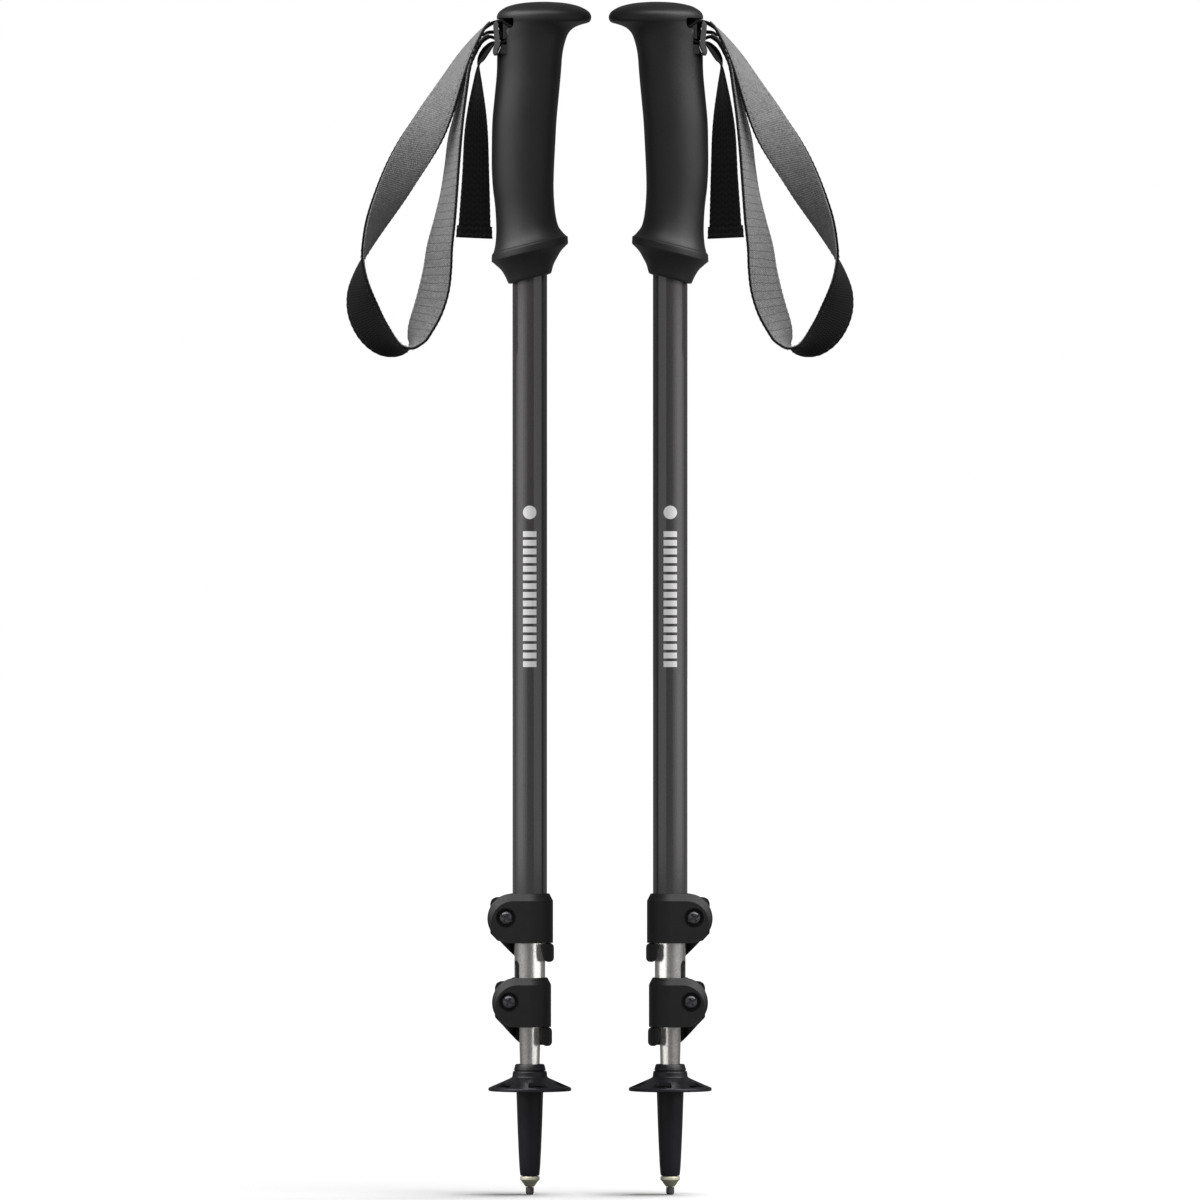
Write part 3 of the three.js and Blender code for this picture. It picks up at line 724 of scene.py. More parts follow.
# Stations of x, z, y and turn. The band's width lies along Y at a turn of 0, and faces the front at 90.
LOOP = [
    (-26.0, 603.6, 0, 174),
    (-30.7, 596.8, 0, 166),
    (-35.6, 588.6, -0.5, 157),
    (-39.9, 580.0, -1, 147),
    (-44.3, 571.0, -1.5, 134),
    (-49.0, 561.8, -2, 118),
    (-54.0, 552.2, -2, 102),
    (-59.6, 543.0, -1.5, 87),
    (-65.0, 533.8, -1, 72),
    (-70.0, 524.4, -0.5, 59),
    (-74.9, 515.1, 0, 45),
    (-79.6, 505.7, 0, 31),
    (-83.5, 496.3, 0, 16),
    (-86.6, 487.0, 0, 0),
    (-88.2, 477.5, 0, -20),
    (-88.2, 468.0, 0, -42),
    (-86.0, 458.5, 0, -58),
    (-81.6, 449.6, 0, -57),
    (-75.3, 442.8, 0, -42),
    (-68.0, 439.5, 0, -17),
    (-62.0, 440.6, 0, 6),
    (-58.9, 445.4, 0, 30),
    (-56.3, 452.0, 0, 43),
    (-52.8, 460.5, 0, 51),
    (-49.9, 470.5, 0, 53),
    (-48.1, 481.0, 0, 48),
    (-46.9, 492.5, 0, 42),
    (-44.3, 506.5, 0.5, 33),
    (-42.1, 520.5, 1, 25),
    (-40.5, 534.5, 1, 21),
    (-39.0, 549.0, 1, 19),
    (-36.7, 562.0, 1, 13),
    (-34.3, 574.0, 0.5, 8),
    (-31.9, 585.0, 0, 3),
    (-28.7, 593.6, 0, 0),
    (-25.2, 599.6, 0, 0),
    (-21.2, 602.5, 0, 0),
]
OVER_BAR = [
    (-14.6, 609.9, 0, 180), (-17.4, 610.0, 0, 180), (-20.4, 609.0, 0, 180), (-23.4, 606.6, 0, 178),
]
TAIL = [
    (-14.4, 598.6, 0, 0),
    (-17.2, 598.9, 0, -3),
    (-19.8, 598.0, 0, -8),
    (-22.9, 594.6, 0, -12),
    (-25.3, 590.4, 0, -10),
    (-26.7, 586.2, 0, 0),
    (-27.2, 575.0, 0, 14),
    (-27.6, 561.9, 0, 28),
    (-27.9, 549.4, 0, 37),
    (-28.1, 530.7, 0, 43),
    (-28.5, 512.0, 0, 51),
    (-28.9, 497.2, 0, 58),
]


def round_the_pin():
    x, z, radius = PIN
    bend = radius + 0.3 + WEBBING / 2
    return [(px, pz, 0, 0) for px, pz in arc(bend, 80, -80, 6, (x, z))]


def band_frames(stations, between):
    """Centre, direction across, outward direction and distance along, for each step of a band's route."""
    rows = smooth_path(stations, between)
    points = [Vector((x, y, z)) for x, z, y, _ in rows]
    frames = []
    along = 0.0
    for i, (centre, row) in enumerate(zip(points, rows)):
        if i:
            along += (centre - points[i - 1]).length
        tangent = (points[min(i + 1, len(points) - 1)] - points[max(i - 1, 0)]).normalized()
        turn = radians(row[3])
        sideways = Vector((-tangent.z, 0, tangent.x)).normalized()
        across = Vector((0, cos(turn), 0)) + sideways * sin(turn)
        outward = across.cross(tangent).normalized()
        frames.append((centre, across, outward, along))
    return frames


# The woven edges are slightly scalloped: a share of the width, and a pitch.
SCALLOP = 0.011
SCALLOP_PITCH = 2.9


def band_section(width, thickness):
    """The cross-section of webbing: flat faces, and edges that are round and a little fuller."""
    half, bead = width / 2, thickness / 2
    left = arc(bead, 270, 90, 6, (-half + bead, 0))
    right = arc(bead, 90, -90, 6, (half - bead, 0))
    return [*left, (-half * 0.5, bead), (0, bead), (half * 0.5, bead), *right,
            (half * 0.5, -bead), (0, -bead), (-half * 0.5, -bead)]


def band(frames, width, thickness, offset):
    section = band_section(width, thickness)
    rings, maps = [], []
    for centre, across, outward, along in frames:
        wide = 1 + SCALLOP * sin(FULL_TURN * along / SCALLOP_PITCH)
        rings.append([centre + across * (a * wide) + outward * (b + offset) for a, b in section])
        maps.append([(along * MM, a * wide * MM) for a, _ in section])
    return outwards(loft(rings, maps))


SEAM_INSET = 2.1
STITCH_PITCH = 1.35
STITCH_HEIGHT = 0.3
# Shares of the strap's length.
STITCHED_FROM, STITCHED_TO = 0.06, 0.985


def add_stitch(bm, spot, directions, length, width):
    """A flat bead of thread. The directions are those of its length, its width and its height."""
    made = bmesh.ops.create_uvsphere(bm, u_segments=6, v_segments=4, radius=0.5)
    turn = Matrix(directions).transposed().to_4x4()
    size = Matrix.Diagonal((length, width, STITCH_HEIGHT, 1))
    bmesh.ops.transform(bm, matrix=Matrix.Translation(spot) @ turn @ size, verts=made["verts"])


def seams(frames, height):
    """A row of stitches along each edge of a band, at a height above its middle."""
    bm = bmesh.new()
    length = sizes().stitch / MM
    total = frames[-1][3]
    inset = STRAP_WIDTH / 2 - SEAM_INSET
    for lane in (-inset, inset):
        nearest = 0
        at = STITCHED_FROM * total
        while at < STITCHED_TO * total:
            while nearest < len(frames) - 2 and frames[nearest + 1][3] < at:
                nearest += 1
            centre, across, outward, along = frames[nearest]
            forward = (frames[nearest + 1][0] - centre).normalized()
            spot = centre + forward * (at - along) + across * lane + outward * height
            add_stitch(bm, spot, (forward, across, outward), length, 0.34)
            at += length * STITCH_PITCH
    return bm


def blend_at_buckle(pieces):
    for side, piece in pieces.items():
        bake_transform(piece)


def hang(pieces, length):
    """Goes over the strap on each pole with its cut size, and sets nothing on it."""
    for side, piece in pieces.items():
        length * MM


LOOP_BETWEEN = 14
# The lining starts past the bar, at this frame of the route.
LINING_START = 2 * LOOP_BETWEEN
# The middles of the webbing and of the lining are this far apart.
SPREAD = (WEBBING + LINING) / 2 + 0.06


def make_strap():
    frames = band_frames([*OVER_BAR, *LOOP], LOOP_BETWEEN)
    outer = band(frames, STRAP_WIDTH, WEBBING, SPREAD / 2)
    inner = band(frames[LINING_START:], LINING_WIDTH, LINING, -SPREAD / 2)
    inside = seams(frames, -SPREAD / 2 - LINING / 2)
    outside = seams(frames, SPREAD / 2 + WEBBING / 2)
    webbing = put_on_poles("loop_webbing", outer, "webbing", None, ["strap_webbing"], 50)
    soft = put_on_poles("loop_lining", inner, "lining", None, ["strap_lining"], 50)
    soft_seams = put_on_poles("lining_stitches", inside, "grey_thread", "strap", (), 60)
    seams_out = put_on_poles("webbing_stitches", outside, "thread", "strap", (), 60)
    blend_at_buckle(webbing)
    blend_at_buckle(soft)
    length = frames[-1][3]
    hang(webbing, length)
    hang(soft, length - frames[LINING_START][3])

    in_slot = band(band_frames([(-16.0, 609.7, 0, 0), (-14.4, 609.5, 0, 0), *round_the_pin(),
                                (-14.0, 598.5, 0, 0), (-15.6, 598.8, 0, 0)], 3), STRAP_WIDTH, WEBBING, 0)
    put_on_poles("pin_webbing", in_slot, "tail", "upper", ["strap_pin_turn"], 50)

    x, z, radius = MIDDLE_BAR
    wrap = [(-24.2, 600.5, 0, 0), (-22.4, 601.5, 0, 0), (-20.4, 601.9, 0, 0),
            *[(px, pz, 0, 0) for px, pz in arc(radius + 0.85, 250, 470, 8, (x, z))],
            (-19.6, 604.3, 0, 0), (-22.0, 604.0, 0, 0), (-24.6, 602.3, 0, 0)]
    sewn = band(band_frames(wrap, 3), STRAP_WIDTH, WEBBING * 0.9, 0)
    blend_at_buckle(
        put_on_poles("sewn_end", sewn, "webbing", None, ["strap_sewn_end"], 50)
    )


HEM = 6.4
HEM_THICKNESS = WEBBING * 2.9
HEM_STITCHES = 7
# How far the hem's two rows of stitches are from its end.
HEM_ROWS = (1.6, HEM - 1.4)


def make_tail():
    frames = band_frames(TAIL, 12)
    tail = band(frames, STRAP_WIDTH, WEBBING, 0)
    webbing = put_on_poles("tail_webbing", tail, "tail", "upper", ["strap_tail"], 50)
    last = [f for f in frames if f[3] > frames[-1][3] - HEM]
    hem = band(last, STRAP_WIDTH + 1.6, HEM_THICKNESS, 0)
    folded = put_on_poles("tail_hem", hem, "tail", "upper", (), 50)
    hang(webbing, frames[-1][3])
    bm = bmesh.new()
    for height in (-HEM_THICKNESS / 2, HEM_THICKNESS / 2):
        for back in HEM_ROWS:
            centre, across, outward, _ = min(last, key=lambda f: abs(last[-1][3] - f[3] - back))
            for i in range(HEM_STITCHES):
                spot = centre + across * ((i - (HEM_STITCHES - 1) / 2) * 2.7) + outward * height
                add_stitch(bm, spot, (across, across.cross(outward), outward), 2.0, 0.36)
    put_on_poles("hem_stitches", bm, "thread", "upper", (), 60)


def make_buckle():
    cheek, inside = 1.5, 10.3
    outline = rounded(
        [(-19.0, 606.9), (-18.6, 608.6), (-17.5, 609.3), (-16.7, 609.3), (-15.3, 598.0), (-15.6, 596.6),
         (-16.5, 594.6), (-17.0, 592.6), (-18.7, 592.5), (-19.3, 594.2), (-18.5, 596.8), (-18.2, 598.4)],
        0.6, 4,
    )
    steps = [(JOIN, plate(outline, inside, inside + cheek, "Y"))]
    for x, z, radius in (TOP_BAR, MIDDLE_BAR, BOTTOM_BAR):
        bar = rod(radius, -inside - cheek / 2, inside + cheek / 2, sizes().small_steps)
        steps.append((JOIN, laid_along_y(bar, x, z)))
    buckle = soften(carve(plate(outline, -inside - cheek, -inside, "Y"), steps), 0.2)
    put_on_poles("buckle_frame", buckle, "buckle", "upper", ["strap_buckle"], flats=True)
    # Painted shade: dark filler round the pin fills the slot where it lies in shade, and a dark backing closes
    # the slot's rear wall.
    x, z, radius = PIN
    above = plate(
        [(-13.9, 600.3), (-13.2, 600.3), (-10.6, 602.1), (-10.6, 605.9), (-13.2, 608.0), (-13.9, 608.2)],
        -10.2, 10.2, "Y",
    )
    below = block((-15.2, -11.0), (-10.2, 10.2), (592.7, 597.3))
    pin_hole = laid_along_y(rod(radius + 0.15, -12, 12, 32), x, z)
    shade_backing = plate(
        [(-16.85, 592.4), (-6.3, 592.4), (-6.3, 611.4), (-17.3, 611.4), (-17.3, 609.6), (-16.6, 609.5),
         (-15.2, 598.0), (-15.45, 596.5), (-16.35, 594.5)], 10.15, 10.65, "Y",
    )
    shade_fill = soften(carve(above, [(JOIN, below), (JOIN, shade_backing), (CUT, pin_hole)]), 0.06)
    put_on_poles("slot_wedge", shade_fill, "lock", "upper", (), flats=True)


# ---- Shafts ----


def tube(radius, low, high, wall=0.7, edge=0.15):
    bore = radius - wall
    return turned(
        [(radius, low + edge), (radius, high - edge), (radius - edge, high), (bore + edge, high),
         (bore, high - edge), (bore, low + edge), (bore + edge, low), (radius - edge, low)],
        sizes().tube_steps, ring=True,
    )


SLOT_HALF = 2.6
SLOT_TOP = 121.6
SLOT_TURN = -62


def tall_slot():
    """Cuts a slot with a round top in the middle tube, between its front and the strap's side."""
    outline = [(-SLOT_HALF, 89), (SLOT_HALF, 89), *arc(SLOT_HALF, 0, 180, 14, (0, SLOT_TOP - SLOT_HALF))]
    tool = plate(outline, -12, -2, "Y")
    tool.transform(Matrix.Rotation(radians(SLOT_TURN), 4, "Z"))
    return tool


def make_shafts():
    put_on_poles("grey_shaft", tube(9, 133.3, 585), "grey_tube", "upper", ["upper_shaft"])
    middle = carve(tube(8, 89.6, 575), [(CUT, tall_slot())])
    put_on_poles("middle_tube", middle, "bare_tube", "middle", ["middle_shaft"])
    # A dark sleeve lies between the two tubes, and shows in the slot.
    sleeve = tube(7.28, 90, 126, 0.2, 0.05)
    put_on_poles("slot_sleeve", sleeve, "lock", "middle", ())
    taper = [(5.1, 31), (5.1, 66), (7, 139), (7, 555), (6.3, 555), (6.3, 139), (4.4, 66), (4.4, 31)]
    lower = turned(taper, sizes().tube_steps, ring=True)
    put_on_poles("lower_tube", lower, "bare_tube", "lower", ["lower_shaft"])


# ---- Lever locks ----

LOCK_HEIGHT = 25.6
COLLAR_WALL = 3.1
BEVEL_DEPTH = 1.9
BEVEL_HEIGHT = 3.7
SCREW_HEIGHT = 13.2
EAR_SLIT = 1.2
# The lever turns on a barrel this far out from the tube. Its round boss is set a little off the barrel.
PIVOT_OUT = 1.8
BOSS_RADIUS = 3.7
BOSS_OFFSET = 0.6
LEVER_TOP = 22.4
LEVER_TAIL = -9.8
TAB_TOP = -0.4
CREASE = 17
# The bottom's height, the radii of the two tubes, the screw's place along X, and how far the ears reach.
LOCKS = {
    "upper": {"bottom": 130.8, "tube": 9, "inner": 8, "screw": -12.3, "tip": -22, "body": "upper"},
    "lower": {"bottom": 87.1, "tube": 8, "inner": 7, "screw": -10.8, "tip": -19.6, "body": "middle"},
}


def ear_outline(tip, shrink_x=1.0, shrink_z=1.0):
    half = LOCK_HEIGHT / 2
    points = [(0, 0), (0, LOCK_HEIGHT), *arc(half, 90, 270, 28, (tip + half, half))]
    return [(x * shrink_x if x < -3 else x, z * shrink_z) for x, z in points]


def front_ear(lock):
    front = -(lock["tube"] + COLLAR_WALL)
    outer = ear_outline(lock["tip"])
    face = ear_outline(lock["tip"], 0.9, 0.855)
    rings = [
        [(x, front, z) for x, z in face],
        [(x, front + BEVEL_DEPTH, z) for x, z in outer],
        [(x, -EAR_SLIT, z) for x, z in outer],
    ]
    return outwards(loft(rings))


def sector(inner, outer, start, end, steps):
    return [*arc(outer, start, end, steps), *arc(inner, end, start, steps)]


def lock_body(lock):
    tube_radius, tip, screw = lock["tube"], lock["tip"], lock["screw"]
    collar = tube_radius + COLLAR_WALL
    ear_face = tube_radius + PIVOT_OUT - BOSS_OFFSET - BOSS_RADIUS - 0.3
    shell = turned(
        [(0, 0), (collar, 0), (collar, LOCK_HEIGHT - BEVEL_HEIGHT),
         (collar - BEVEL_DEPTH, LOCK_HEIGHT), (0, LOCK_HEIGHT)], 96,
    )
    bay = plate(sector(tube_radius + 1.65, tube_radius + 12, 32, 152, 32), -1, LOCK_HEIGHT + 1)
    back = tip + 1.4
    back_ear = plate(
        rounded([(0, 0.8), (back + 3.9, 0.8), (back, 4.9), (back, 20.6), (back + 0.7, 22.4),
                 (back + 2.6, 23.5), (0, 24.8)], 0.7), -0.5, ear_face, "Y",
    )
    cuts = [
        turned([(0, 2.2), (tube_radius + 0.3, 2.2), (tube_radius + 0.3, 40), (0, 40)], 72),
        turned([(0, -4), (lock["inner"] + 0.3, -4), (lock["inner"] + 0.3, 4), (0, 4)], 72),
        block((tip - 2, -tube_radius + 2), (-EAR_SLIT, EAR_SLIT), (-1, LOCK_HEIGHT + 1)),
        laid_along_y(rod(1.9, -collar - 1, collar, 32), screw, SCREW_HEIGHT),
        laid_along_y(rod(5.1, -collar - 1, -collar + 3.2, 48), screw, SCREW_HEIGHT),
    ]
    return carve(
        shell, [(JOIN, front_ear(lock)), (CUT, bay), (JOIN, back_ear), *[(CUT, shape) for shape in cuts]]
    )


def lock_lever(lock):
    tube_radius, tip, screw = lock["tube"], lock["tip"], lock["screw"]
    inner, outer = tube_radius + 1.95, tube_radius + 4.4
    pivot = tube_radius + PIVOT_OUT
    arm = plate(
        [*arc(BOSS_RADIUS, -20, -270, 20, (screw, pivot - BOSS_OFFSET)), *arc(outer, 105, 36, 24),
         *arc(inner, 36, 131, 30)], LEVER_TAIL, LEVER_TOP,
    )
    tab_inner, tab_outer = tube_radius + 1.2, tube_radius + 3.6
    tab_outline = rounded(
        [(tube_radius - 3.9, TAB_TOP), (tab_outer, TAB_TOP), (tab_outer, LEVER_TAIL),
         (tube_radius - 1.2, LEVER_TAIL)], 2.4, 8,
    )
    tab = carve(
        plate(sector(tab_inner, tab_outer, -57, 40, 24), LEVER_TAIL, TAB_TOP),
        [(KEEP_INSIDE, plate(tab_outline, -40, 40, "Y"))],
    )
    heel = plate(
        [(tip - 9, 16), (tip - 9, LEVER_TAIL - 9), (-tube_radius + 4, LEVER_TAIL - 0.1),
         (-tube_radius + 0.7, -7)], 0, 40, "Y",
    )
    barrel = turned([(0, -30), (2.5, -30), (2.5, 40), (0, 40)], 40, (screw, pivot))
    fork = block((tip - 10, screw + 2.9), (0, 40), (SCREW_HEIGHT - 2.1, SCREW_HEIGHT + 2.1))
    return carve(arm, [(JOIN, tab), (CUT, heel), (CUT, barrel), (CUT, fork)])


def lock_screw(lock):
    seat = -(lock["tube"] + COLLAR_WALL) + 2.9
    end = lock["tube"] + 3.5
    blank = turned(
        [(0, -2.3), (1.4, -2.3), (2.3, -2.2), (3.0, -1.8), (3.4, -1.1), (3.6, -0.4), (3.5, 0), (1.6, 0),
         (1.6, end - seat - 0.5), (1.1, end - seat), (0, end - seat)], 48,
    )
    cross = [
        (CUT, block((-4, 4), (-0.65, 0.65), (-4, -1.0))),
        (CUT, block((-0.6, 0.6), (-2.2, 2.2), (-4, -1.0))),
    ]
    screw = soften(carve(blank, cross), 0.12)
    screw.transform(Matrix.Rotation(radians(28), 4, "Z"))
    laid_along_y(screw, lock["screw"], SCREW_HEIGHT)
    screw.transform(Matrix.Translation((0, seat, 0)))
    return screw


def lock_barrel(lock):
    dowel = rod(2.2, SCREW_HEIGHT - 8, SCREW_HEIGHT + 8, 32, 0.3)
    dowel.transform(Matrix.Translation((lock["screw"], lock["tube"] + PIVOT_OUT, 0)))
    thread = laid_along_y(rod(1.85, -40, 40, 24), lock["screw"], SCREW_HEIGHT)
    return carve(dowel, [(CUT, thread)])


def make_locks():
    for key, lock in LOCKS.items():
        up = Matrix.Translation((0, 0, lock["bottom"]))
        for name, shape, material, body, node, slot in (
            ("clamp", lock_body(lock), "lock", lock["body"], "body", "lock_plastic"),
            ("clamp_lever", lock_lever(lock), "lock", f"{key}_lever", "lever", "lock_plastic"),
            ("clamp_screw", lock_screw(lock), "black_steel", f"{key}_screw", "screw", "black_steel"),
            ("clamp_barrel", lock_barrel(lock), "steel", lock["body"], "barrel", "steel"),
        ):
            if name in ("clamp", "clamp_lever"):
                soften(shape, sizes().edge, CREASE)
            shape.transform(up)
            put_on_poles(
                f"{key}_{name}", shape, material, body, [f"{key}_lock_{node}"], CREASE, flats=True
            )


# ---- Basket, ferrule and tip ----

BASKET_BOTTOM = 53.8
WINDOWS = 6
WINDOW_TURN = 283
WINDOW_HALF = 15
CARBIDE_STEPS = 12


def make_basket():
    low = BASKET_BOTTOM
    dish = turned(
        [(7.3, low + 0.4), (8.9, low + 0.3), (8.9, low + 5.0), (12.4, low + 3.6), (16.4, low + 1.9),
         (20.0, low + 0.5), (20.1, low), (21.3, low), (21.6, low + 0.35), (21.55, low + 1.2),
         (21.3, low + 1.7), (16.6, low + 3.75), (12.6, low + 5.5), (10.4, low + 6.5), (9.4, low + 7.1),
         (9.05, low + 7.7), (8.95, 63.2), (8.7, 64.0), (7.3, 64.0)], 96, ring=True,
    )
    steps = []
    for i in range(WINDOWS):
        middle = 360 / WINDOWS * i + WINDOW_TURN
        outline = rounded(sector(14.4, 20.3, middle - WINDOW_HALF, middle + WINDOW_HALF, 1), 1.0)
        steps.append((CUT, plate(outline, low - 2, low + 12)))
    # A rib stands half way between each window and the next.
    for i in range(1, 2 * WINDOWS, 2):
        rib = block((9.0, 20.4), (-0.45, 0.45), (low + 0.4, low + 4.6))
        for vert in rib.verts:
            if vert.co.z > low + 2:
                vert.co.z = low + (6.6 if vert.co.x < 12 else 2.0)
        turn = FULL_TURN * i / (WINDOWS * 2) + radians(WINDOW_TURN)
        rib.transform(Matrix.Rotation(turn, 4, "Z"))
        steps.append((JOIN, rib))
    basket = soften(carve(dish, steps), 0.18, 35)
    put_on_poles("snow_basket", basket, "ferrule", "basket", ["basket"], flats=True)


def make_tip():
    steps = sizes().tube_steps
    ferrule = turned(
        [(4.4, 9.6), (4.9, 9.9), (5.1, 10.6), (5.45, 14.2), (5.95, 24), (6.45, 36), (6.8, 47), (7.0, 53),
         (7.0, 64.3), (8.1, 64.3), (8.3, 64.7), (7.75, 66.9), (7.4, 67.55), (7.2, 67.7), (5.4, 67.7),
         (5.4, 30.7), (2.3, 30.7), (2.3, 9.6)], steps, ring=True,
    )
    put_on_poles("ferrule", ferrule, "ferrule", "lower", ["tip_ferrule"], 36)
    holder = turned(
        [(0, 9.5), (1.5, 9.5), (1.5, 4), (2.1, 4), (2.5, 4.3), (4.4, 7.0), (4.9, 7.35), (5.1, 7.6),
         (5.1, 9.0), (4.9, 9.3), (2, 9.3), (2, 23), (0, 23)], steps,
    )
    put_on_poles("zinc_holder", holder, "zinc", "lower", ["tip_holder"], 36)
    pin = turned(
        [(0, 0), (1.5, 0), (2.05, 0.5), (2.1, 0.9), (2.1, 3.7), (1.2, 3.7), (1.2, 8.9), (0, 8.9)],
        CARBIDE_STEPS,
    )
    put_on_poles("carbide_pin", pin, "carbide", "lower", ["carbide_tip"])


def finish_inner_pieces():
    """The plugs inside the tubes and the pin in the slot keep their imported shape, and get their finish."""
    for side in SIDES:
        for node, material in (
            ("middle_shaft_plug", "lock"), ("lower_shaft_plug", "lock"), ("strap_pin", "steel")
        ):
            piece = frame["nodes"][f"{side}_{node}"]
            piece.data.materials.clear()
            piece.data.materials.append(MATERIALS[material])


# ---- Studio ----


CAMERA_AT = (0, -6, 0.309)
CAMERA_LENS = 346.15
ROOM_LIGHT = 0.1
SUN_STRENGTH = 3.5
SUN_ANGLE = 40
SUN_DIRECTION = (-0.25, 0, -0.97)
PANEL_DISTANCE = 1.25


def area_light(name, at, towards, size, radiance, lit, blocked_by=None):
    """A softbox of an even radiance, seen in reflections but not by the camera."""
    data = bpy.data.lights.new(name, "AREA")
    data.shape = "RECTANGLE"
    data.size, data.size_y = size
    data.energy = pi * radiance * size[0] * size[1]
    lamp = add_object(name, data)
    lamp.location = at
    lamp.rotation_euler = (Vector(towards) - Vector(at)).to_track_quat("-Z", "Y").to_euler()
    lamp.visible_camera = False
    lamp.light_linking.receiver_collection = lit
    if blocked_by:
        lamp.light_linking.blocker_collection = blocked_by


def panel(name, side, turns, heights, radiance, lit, aim=None, blocked_by=None, distance=PANEL_DISTANCE):
    """An upright softbox beside a pole, from one angle round it to another, in degrees from the front.

    Angles are positive towards the other pole, and negative away from it.
    """
    sign = SIDES[side]
    middle = radians(sum(turns) / 2)
    half = radians(abs(turns[1] - turns[0]) / 2)
    reach = distance * cos(half)
    axis = sign * HALF_SPACING * MM
    height = sum(heights) / 2
    at = (axis - sign * sin(middle) * reach, -cos(middle) * reach, height)
    size = (2 * distance * sin(half), heights[1] - heights[0])
    area_light(name, at, (axis, 0, height if aim is None else aim), size, radiance, lit, blocked_by)


def make_world():
    """A dim room, which the camera sees as white."""
    world = bpy.data.worlds.new("studio")
    bpy.context.scene.world = world
    world.use_nodes = True
    nodes, links = world.node_tree.nodes, world.node_tree.links
    room = nodes["Background"]
    room.inputs["Color"].default_value = (1, 1, 1, 1)
    room.inputs["Strength"].default_value = ROOM_LIGHT
    seen = nodes.new("ShaderNodeBackground")
    seen.inputs["Color"].default_value = (1, 1, 1, 1)
    ray = nodes.new("ShaderNodeLightPath")
    mix = nodes.new("ShaderNodeMixShader")
    links.new(ray.outputs["Is Camera Ray"], mix.inputs["Fac"])
    links.new(room.outputs[0], mix.inputs[1])
    links.new(seen.outputs[0], mix.inputs[2])
    links.new(mix.outputs[0], nodes["World Output"].inputs["Surface"])


def make_floor():
    """A pale floor under its own soft sun. Only the camera sees it pale, so it throws little light back."""
    finish = Finish("floor", Roughness=0.7, Specular_IOR_Level=0.0)
    pale = tuple(colours().floor)
    camera_ray = finish.add("ShaderNodeLightPath", outputs=["Is Camera Ray"])[0]
    finish.set(Base_Color=finish.blend(camera_ray, shade(pale, 0.2), pale))
    bm = bmesh.new()
    bmesh.ops.create_grid(bm, x_segments=1, y_segments=1, size=40)
    floor = mesh_object("studio_floor", bm)
    bm.free()
    floor.data.materials.append(finish.material)
    floor.location.z = -0.0002
    only_floor = bpy.data.collections.new("floor_only")
    only_floor.objects.link(floor)
    sun = bpy.data.lights.new("floor_sun", "SUN")
    sun.energy = SUN_STRENGTH
    sun.angle = radians(SUN_ANGLE)
    lamp = add_object("floor_sun", sun)
    lamp.rotation_euler = Vector(SUN_DIRECTION).to_track_quat("-Z", "Y").to_euler()
    lamp.light_linking.receiver_collection = only_floor


def make_studio():
    scene = bpy.context.scene
    scene.view_settings.view_transform = "Standard"
    make_world()
    make_floor()

    data = bpy.data.cameras.new("camera")
    data.lens = CAMERA_LENS
    data.sensor_width = 36
    data.clip_end = 200
    camera = add_object("camera", data)
    camera.location = CAMERA_AT
    camera.rotation_euler = (pi / 2, 0, 0)
    scene.camera = camera

    both = bpy.data.collections.new("both_poles")
    open_to = bpy.data.collections["floor_only"]
    for side in SIDES:
        one = bpy.data.collections.new(f"{side}_pole")
        for piece in bpy.data.objects:
            if piece.type == "MESH" and piece.name.startswith(side):
                one.objects.link(piece)
                both.objects.link(piece)
        tubes = bpy.data.collections.new(f"{side}_bare_tubes")
        for piece in ("middle_tube", "lower_tube"):
            tubes.objects.link(bpy.data.objects[f"{side}_{piece}"])
        # Nothing stands between this light and the bare tubes, so their bright side keeps its width.
        panel(f"{side}_bright", side, (29, 98), (-0.6, 0.7), 1.75, tubes, blocked_by=open_to)
        panel(f"{side}_inner", side, (27, 84), (0.14, 0.58), 0.42, one)
        panel(f"{side}_low", side, (-97, -23), (0.0, 0.13), 0.05, one)
        # Three nested panels fade towards their edges.
        for number, turns in enumerate(((-104, -18), (-92, -32), (-80, -46))):
            panel(f"{side}_outer_{number}", side, turns, (0.14, 0.5), 0.3, one,
                  distance=PANEL_DISTANCE + 0.02 * number)
        panel(f"{side}_high", side, (-95, -25), (0.8, 1.7), 5.6, one, 0.5)
    area_light("key", (0, -1.3, 1.9), (0, 0, 0.3), (1.3, 0.8), 5.2, both)


# ---- Operators ----


class MakeFinishes(bpy.types.Operator):
    """Make the materials that the pieces use"""

    bl_idname = "poles.finishes"
    bl_label = "Finishes"

    def execute(self, context):
        make_materials()
        return {"FINISHED"}


class MakeGrips(bpy.types.Operator):
    """Make the rubber grips"""

    bl_idname = "poles.grips"
    bl_label = "Grips"

    def execute(self, context):
        make_grip()
        return {"FINISHED"}


class MakeStraps(bpy.types.Operator):
    """Make the loops of webbing with their lining"""

    bl_idname = "poles.straps"
    bl_label = "Wrist straps"

    def execute(self, context):
        make_strap()
        return {"FINISHED"}


class MakeTails(bpy.types.Operator):
    """Make the loose ends of the straps, with their hems"""

    bl_idname = "poles.tails"
    bl_label = "Strap tails"

    def execute(self, context):
        make_tail()
        return {"FINISHED"}


class MakeBuckles(bpy.types.Operator):
    """Make the frames that hold the straps, and the dark filler that stands for the shade in the slots"""

    bl_idname = "poles.buckles"
    bl_label = "Buckles"

    def execute(self, context):
        make_buckle()
        return {"FINISHED"}


class MakeShafts(bpy.types.Operator):
    """Make the three tubes of each pole"""

    bl_idname = "poles.shafts"
    bl_label = "Shafts"

    def execute(self, context):
        make_shafts()
        return {"FINISHED"}


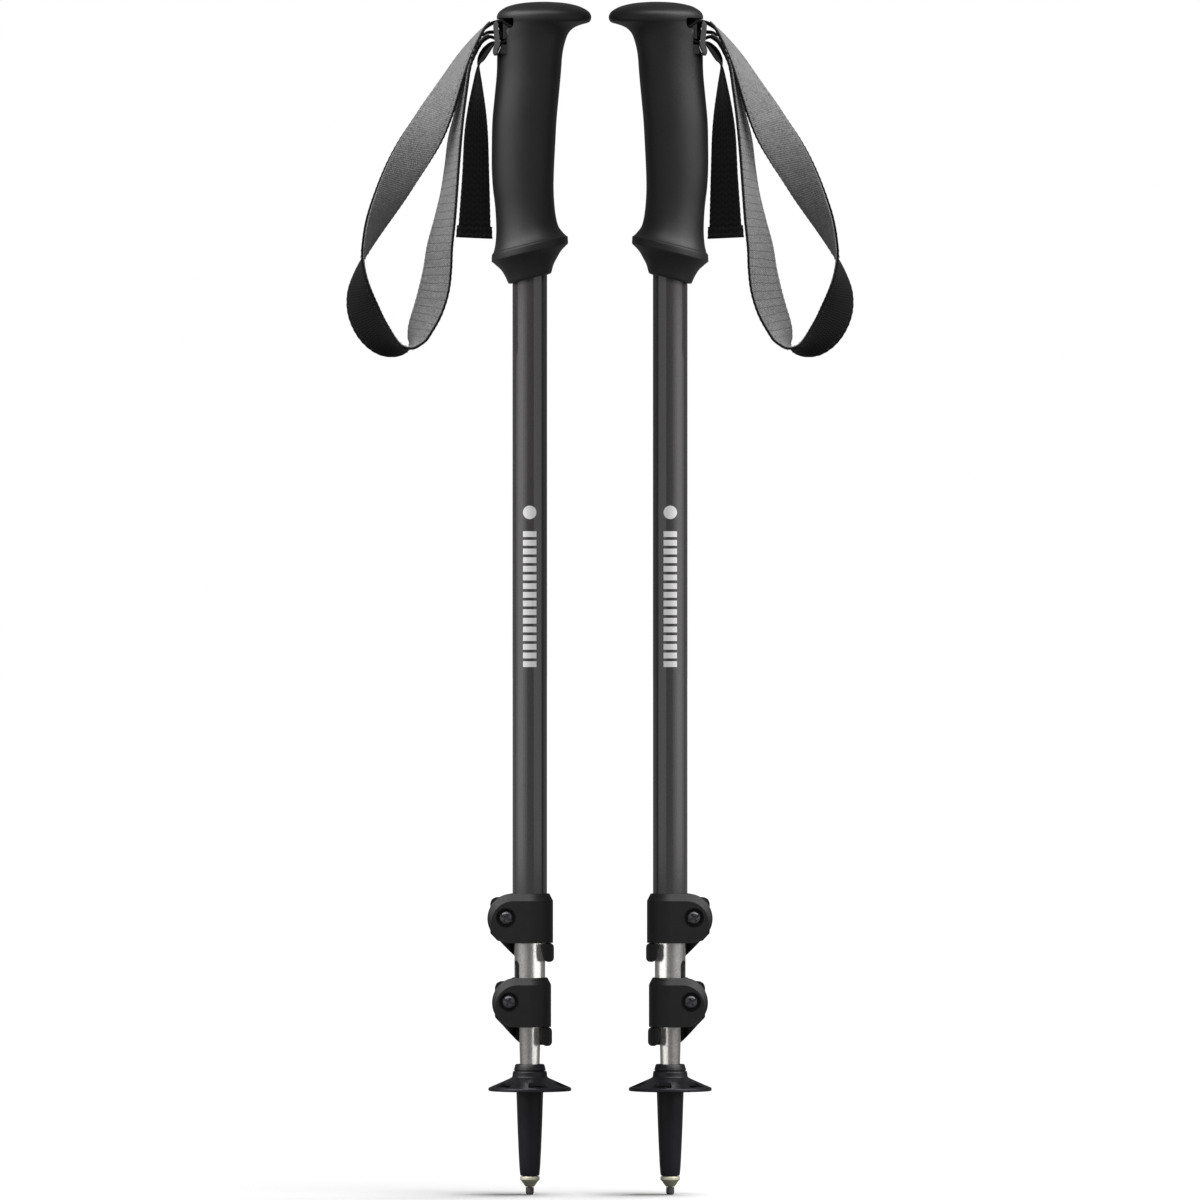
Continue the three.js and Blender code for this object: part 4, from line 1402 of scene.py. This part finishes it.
class MakeLocks(bpy.types.Operator):
    """Make the clamps, levers, screws and barrels"""

    bl_idname = "poles.locks"
    bl_label = "Lever locks"

    def execute(self, context):
        make_locks()
        return {"FINISHED"}


class MakeBaskets(bpy.types.Operator):
    """Make the baskets"""

    bl_idname = "poles.baskets"
    bl_label = "Baskets"

    def execute(self, context):
        make_basket()
        return {"FINISHED"}


class MakeTips(bpy.types.Operator):
    """Make the ferrules, holders and carbide pins"""

    bl_idname = "poles.tips"
    bl_label = "Tips"

    def execute(self, context):
        make_tip()
        return {"FINISHED"}


class MakeInnerPieces(bpy.types.Operator):
    """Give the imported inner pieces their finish"""

    bl_idname = "poles.inner_pieces"
    bl_label = "Inner pieces"

    def execute(self, context):
        finish_inner_pieces()
        return {"FINISHED"}


class MakeStudio(bpy.types.Operator):
    """Make the floor, lights and camera"""

    bl_idname = "poles.studio"
    bl_label = "Studio"

    def execute(self, context):
        make_studio()
        return {"FINISHED"}


MAKERS = [
    MakeFinishes, MakeGrips, MakeStraps, MakeTails, MakeBuckles, MakeShafts, MakeLocks, MakeBaskets,
    MakeTips, MakeInnerPieces, MakeStudio,
]


class POLES_PT_panel(bpy.types.Panel):
    bl_idname = "POLES_PT_panel"
    bl_label = "Trekking poles"
    bl_space_type = "VIEW_3D"
    bl_region_type = "UI"
    bl_category = "Poles"

    def draw(self, context):
        column = self.layout.column()
        for maker in MAKERS:
            column.operator(maker.bl_idname)
        for group in (context.scene.pole_sizes, context.scene.pole_colours):
            for key in group.bl_rna.properties.keys():
                if key not in ("rna_type", "name"):
                    column.prop(group, key)


CLASSES = [PoleColours, PoleSizes, *MAKERS, POLES_PT_panel]


def register():
    for cls in CLASSES:
        bpy.utils.register_class(cls)
    bpy.types.Scene.pole_colours = PointerProperty(type=PoleColours)
    bpy.types.Scene.pole_sizes = PointerProperty(type=PoleSizes)


def unregister():
    del bpy.types.Scene.pole_sizes
    del bpy.types.Scene.pole_colours
    for cls in reversed(CLASSES):
        bpy.utils.unregister_class(cls)


def main():
    register()
    for maker in MAKERS:
        getattr(bpy.ops.poles, maker.bl_idname.split(".")[1])()


if __name__ == "__main__":
    main()
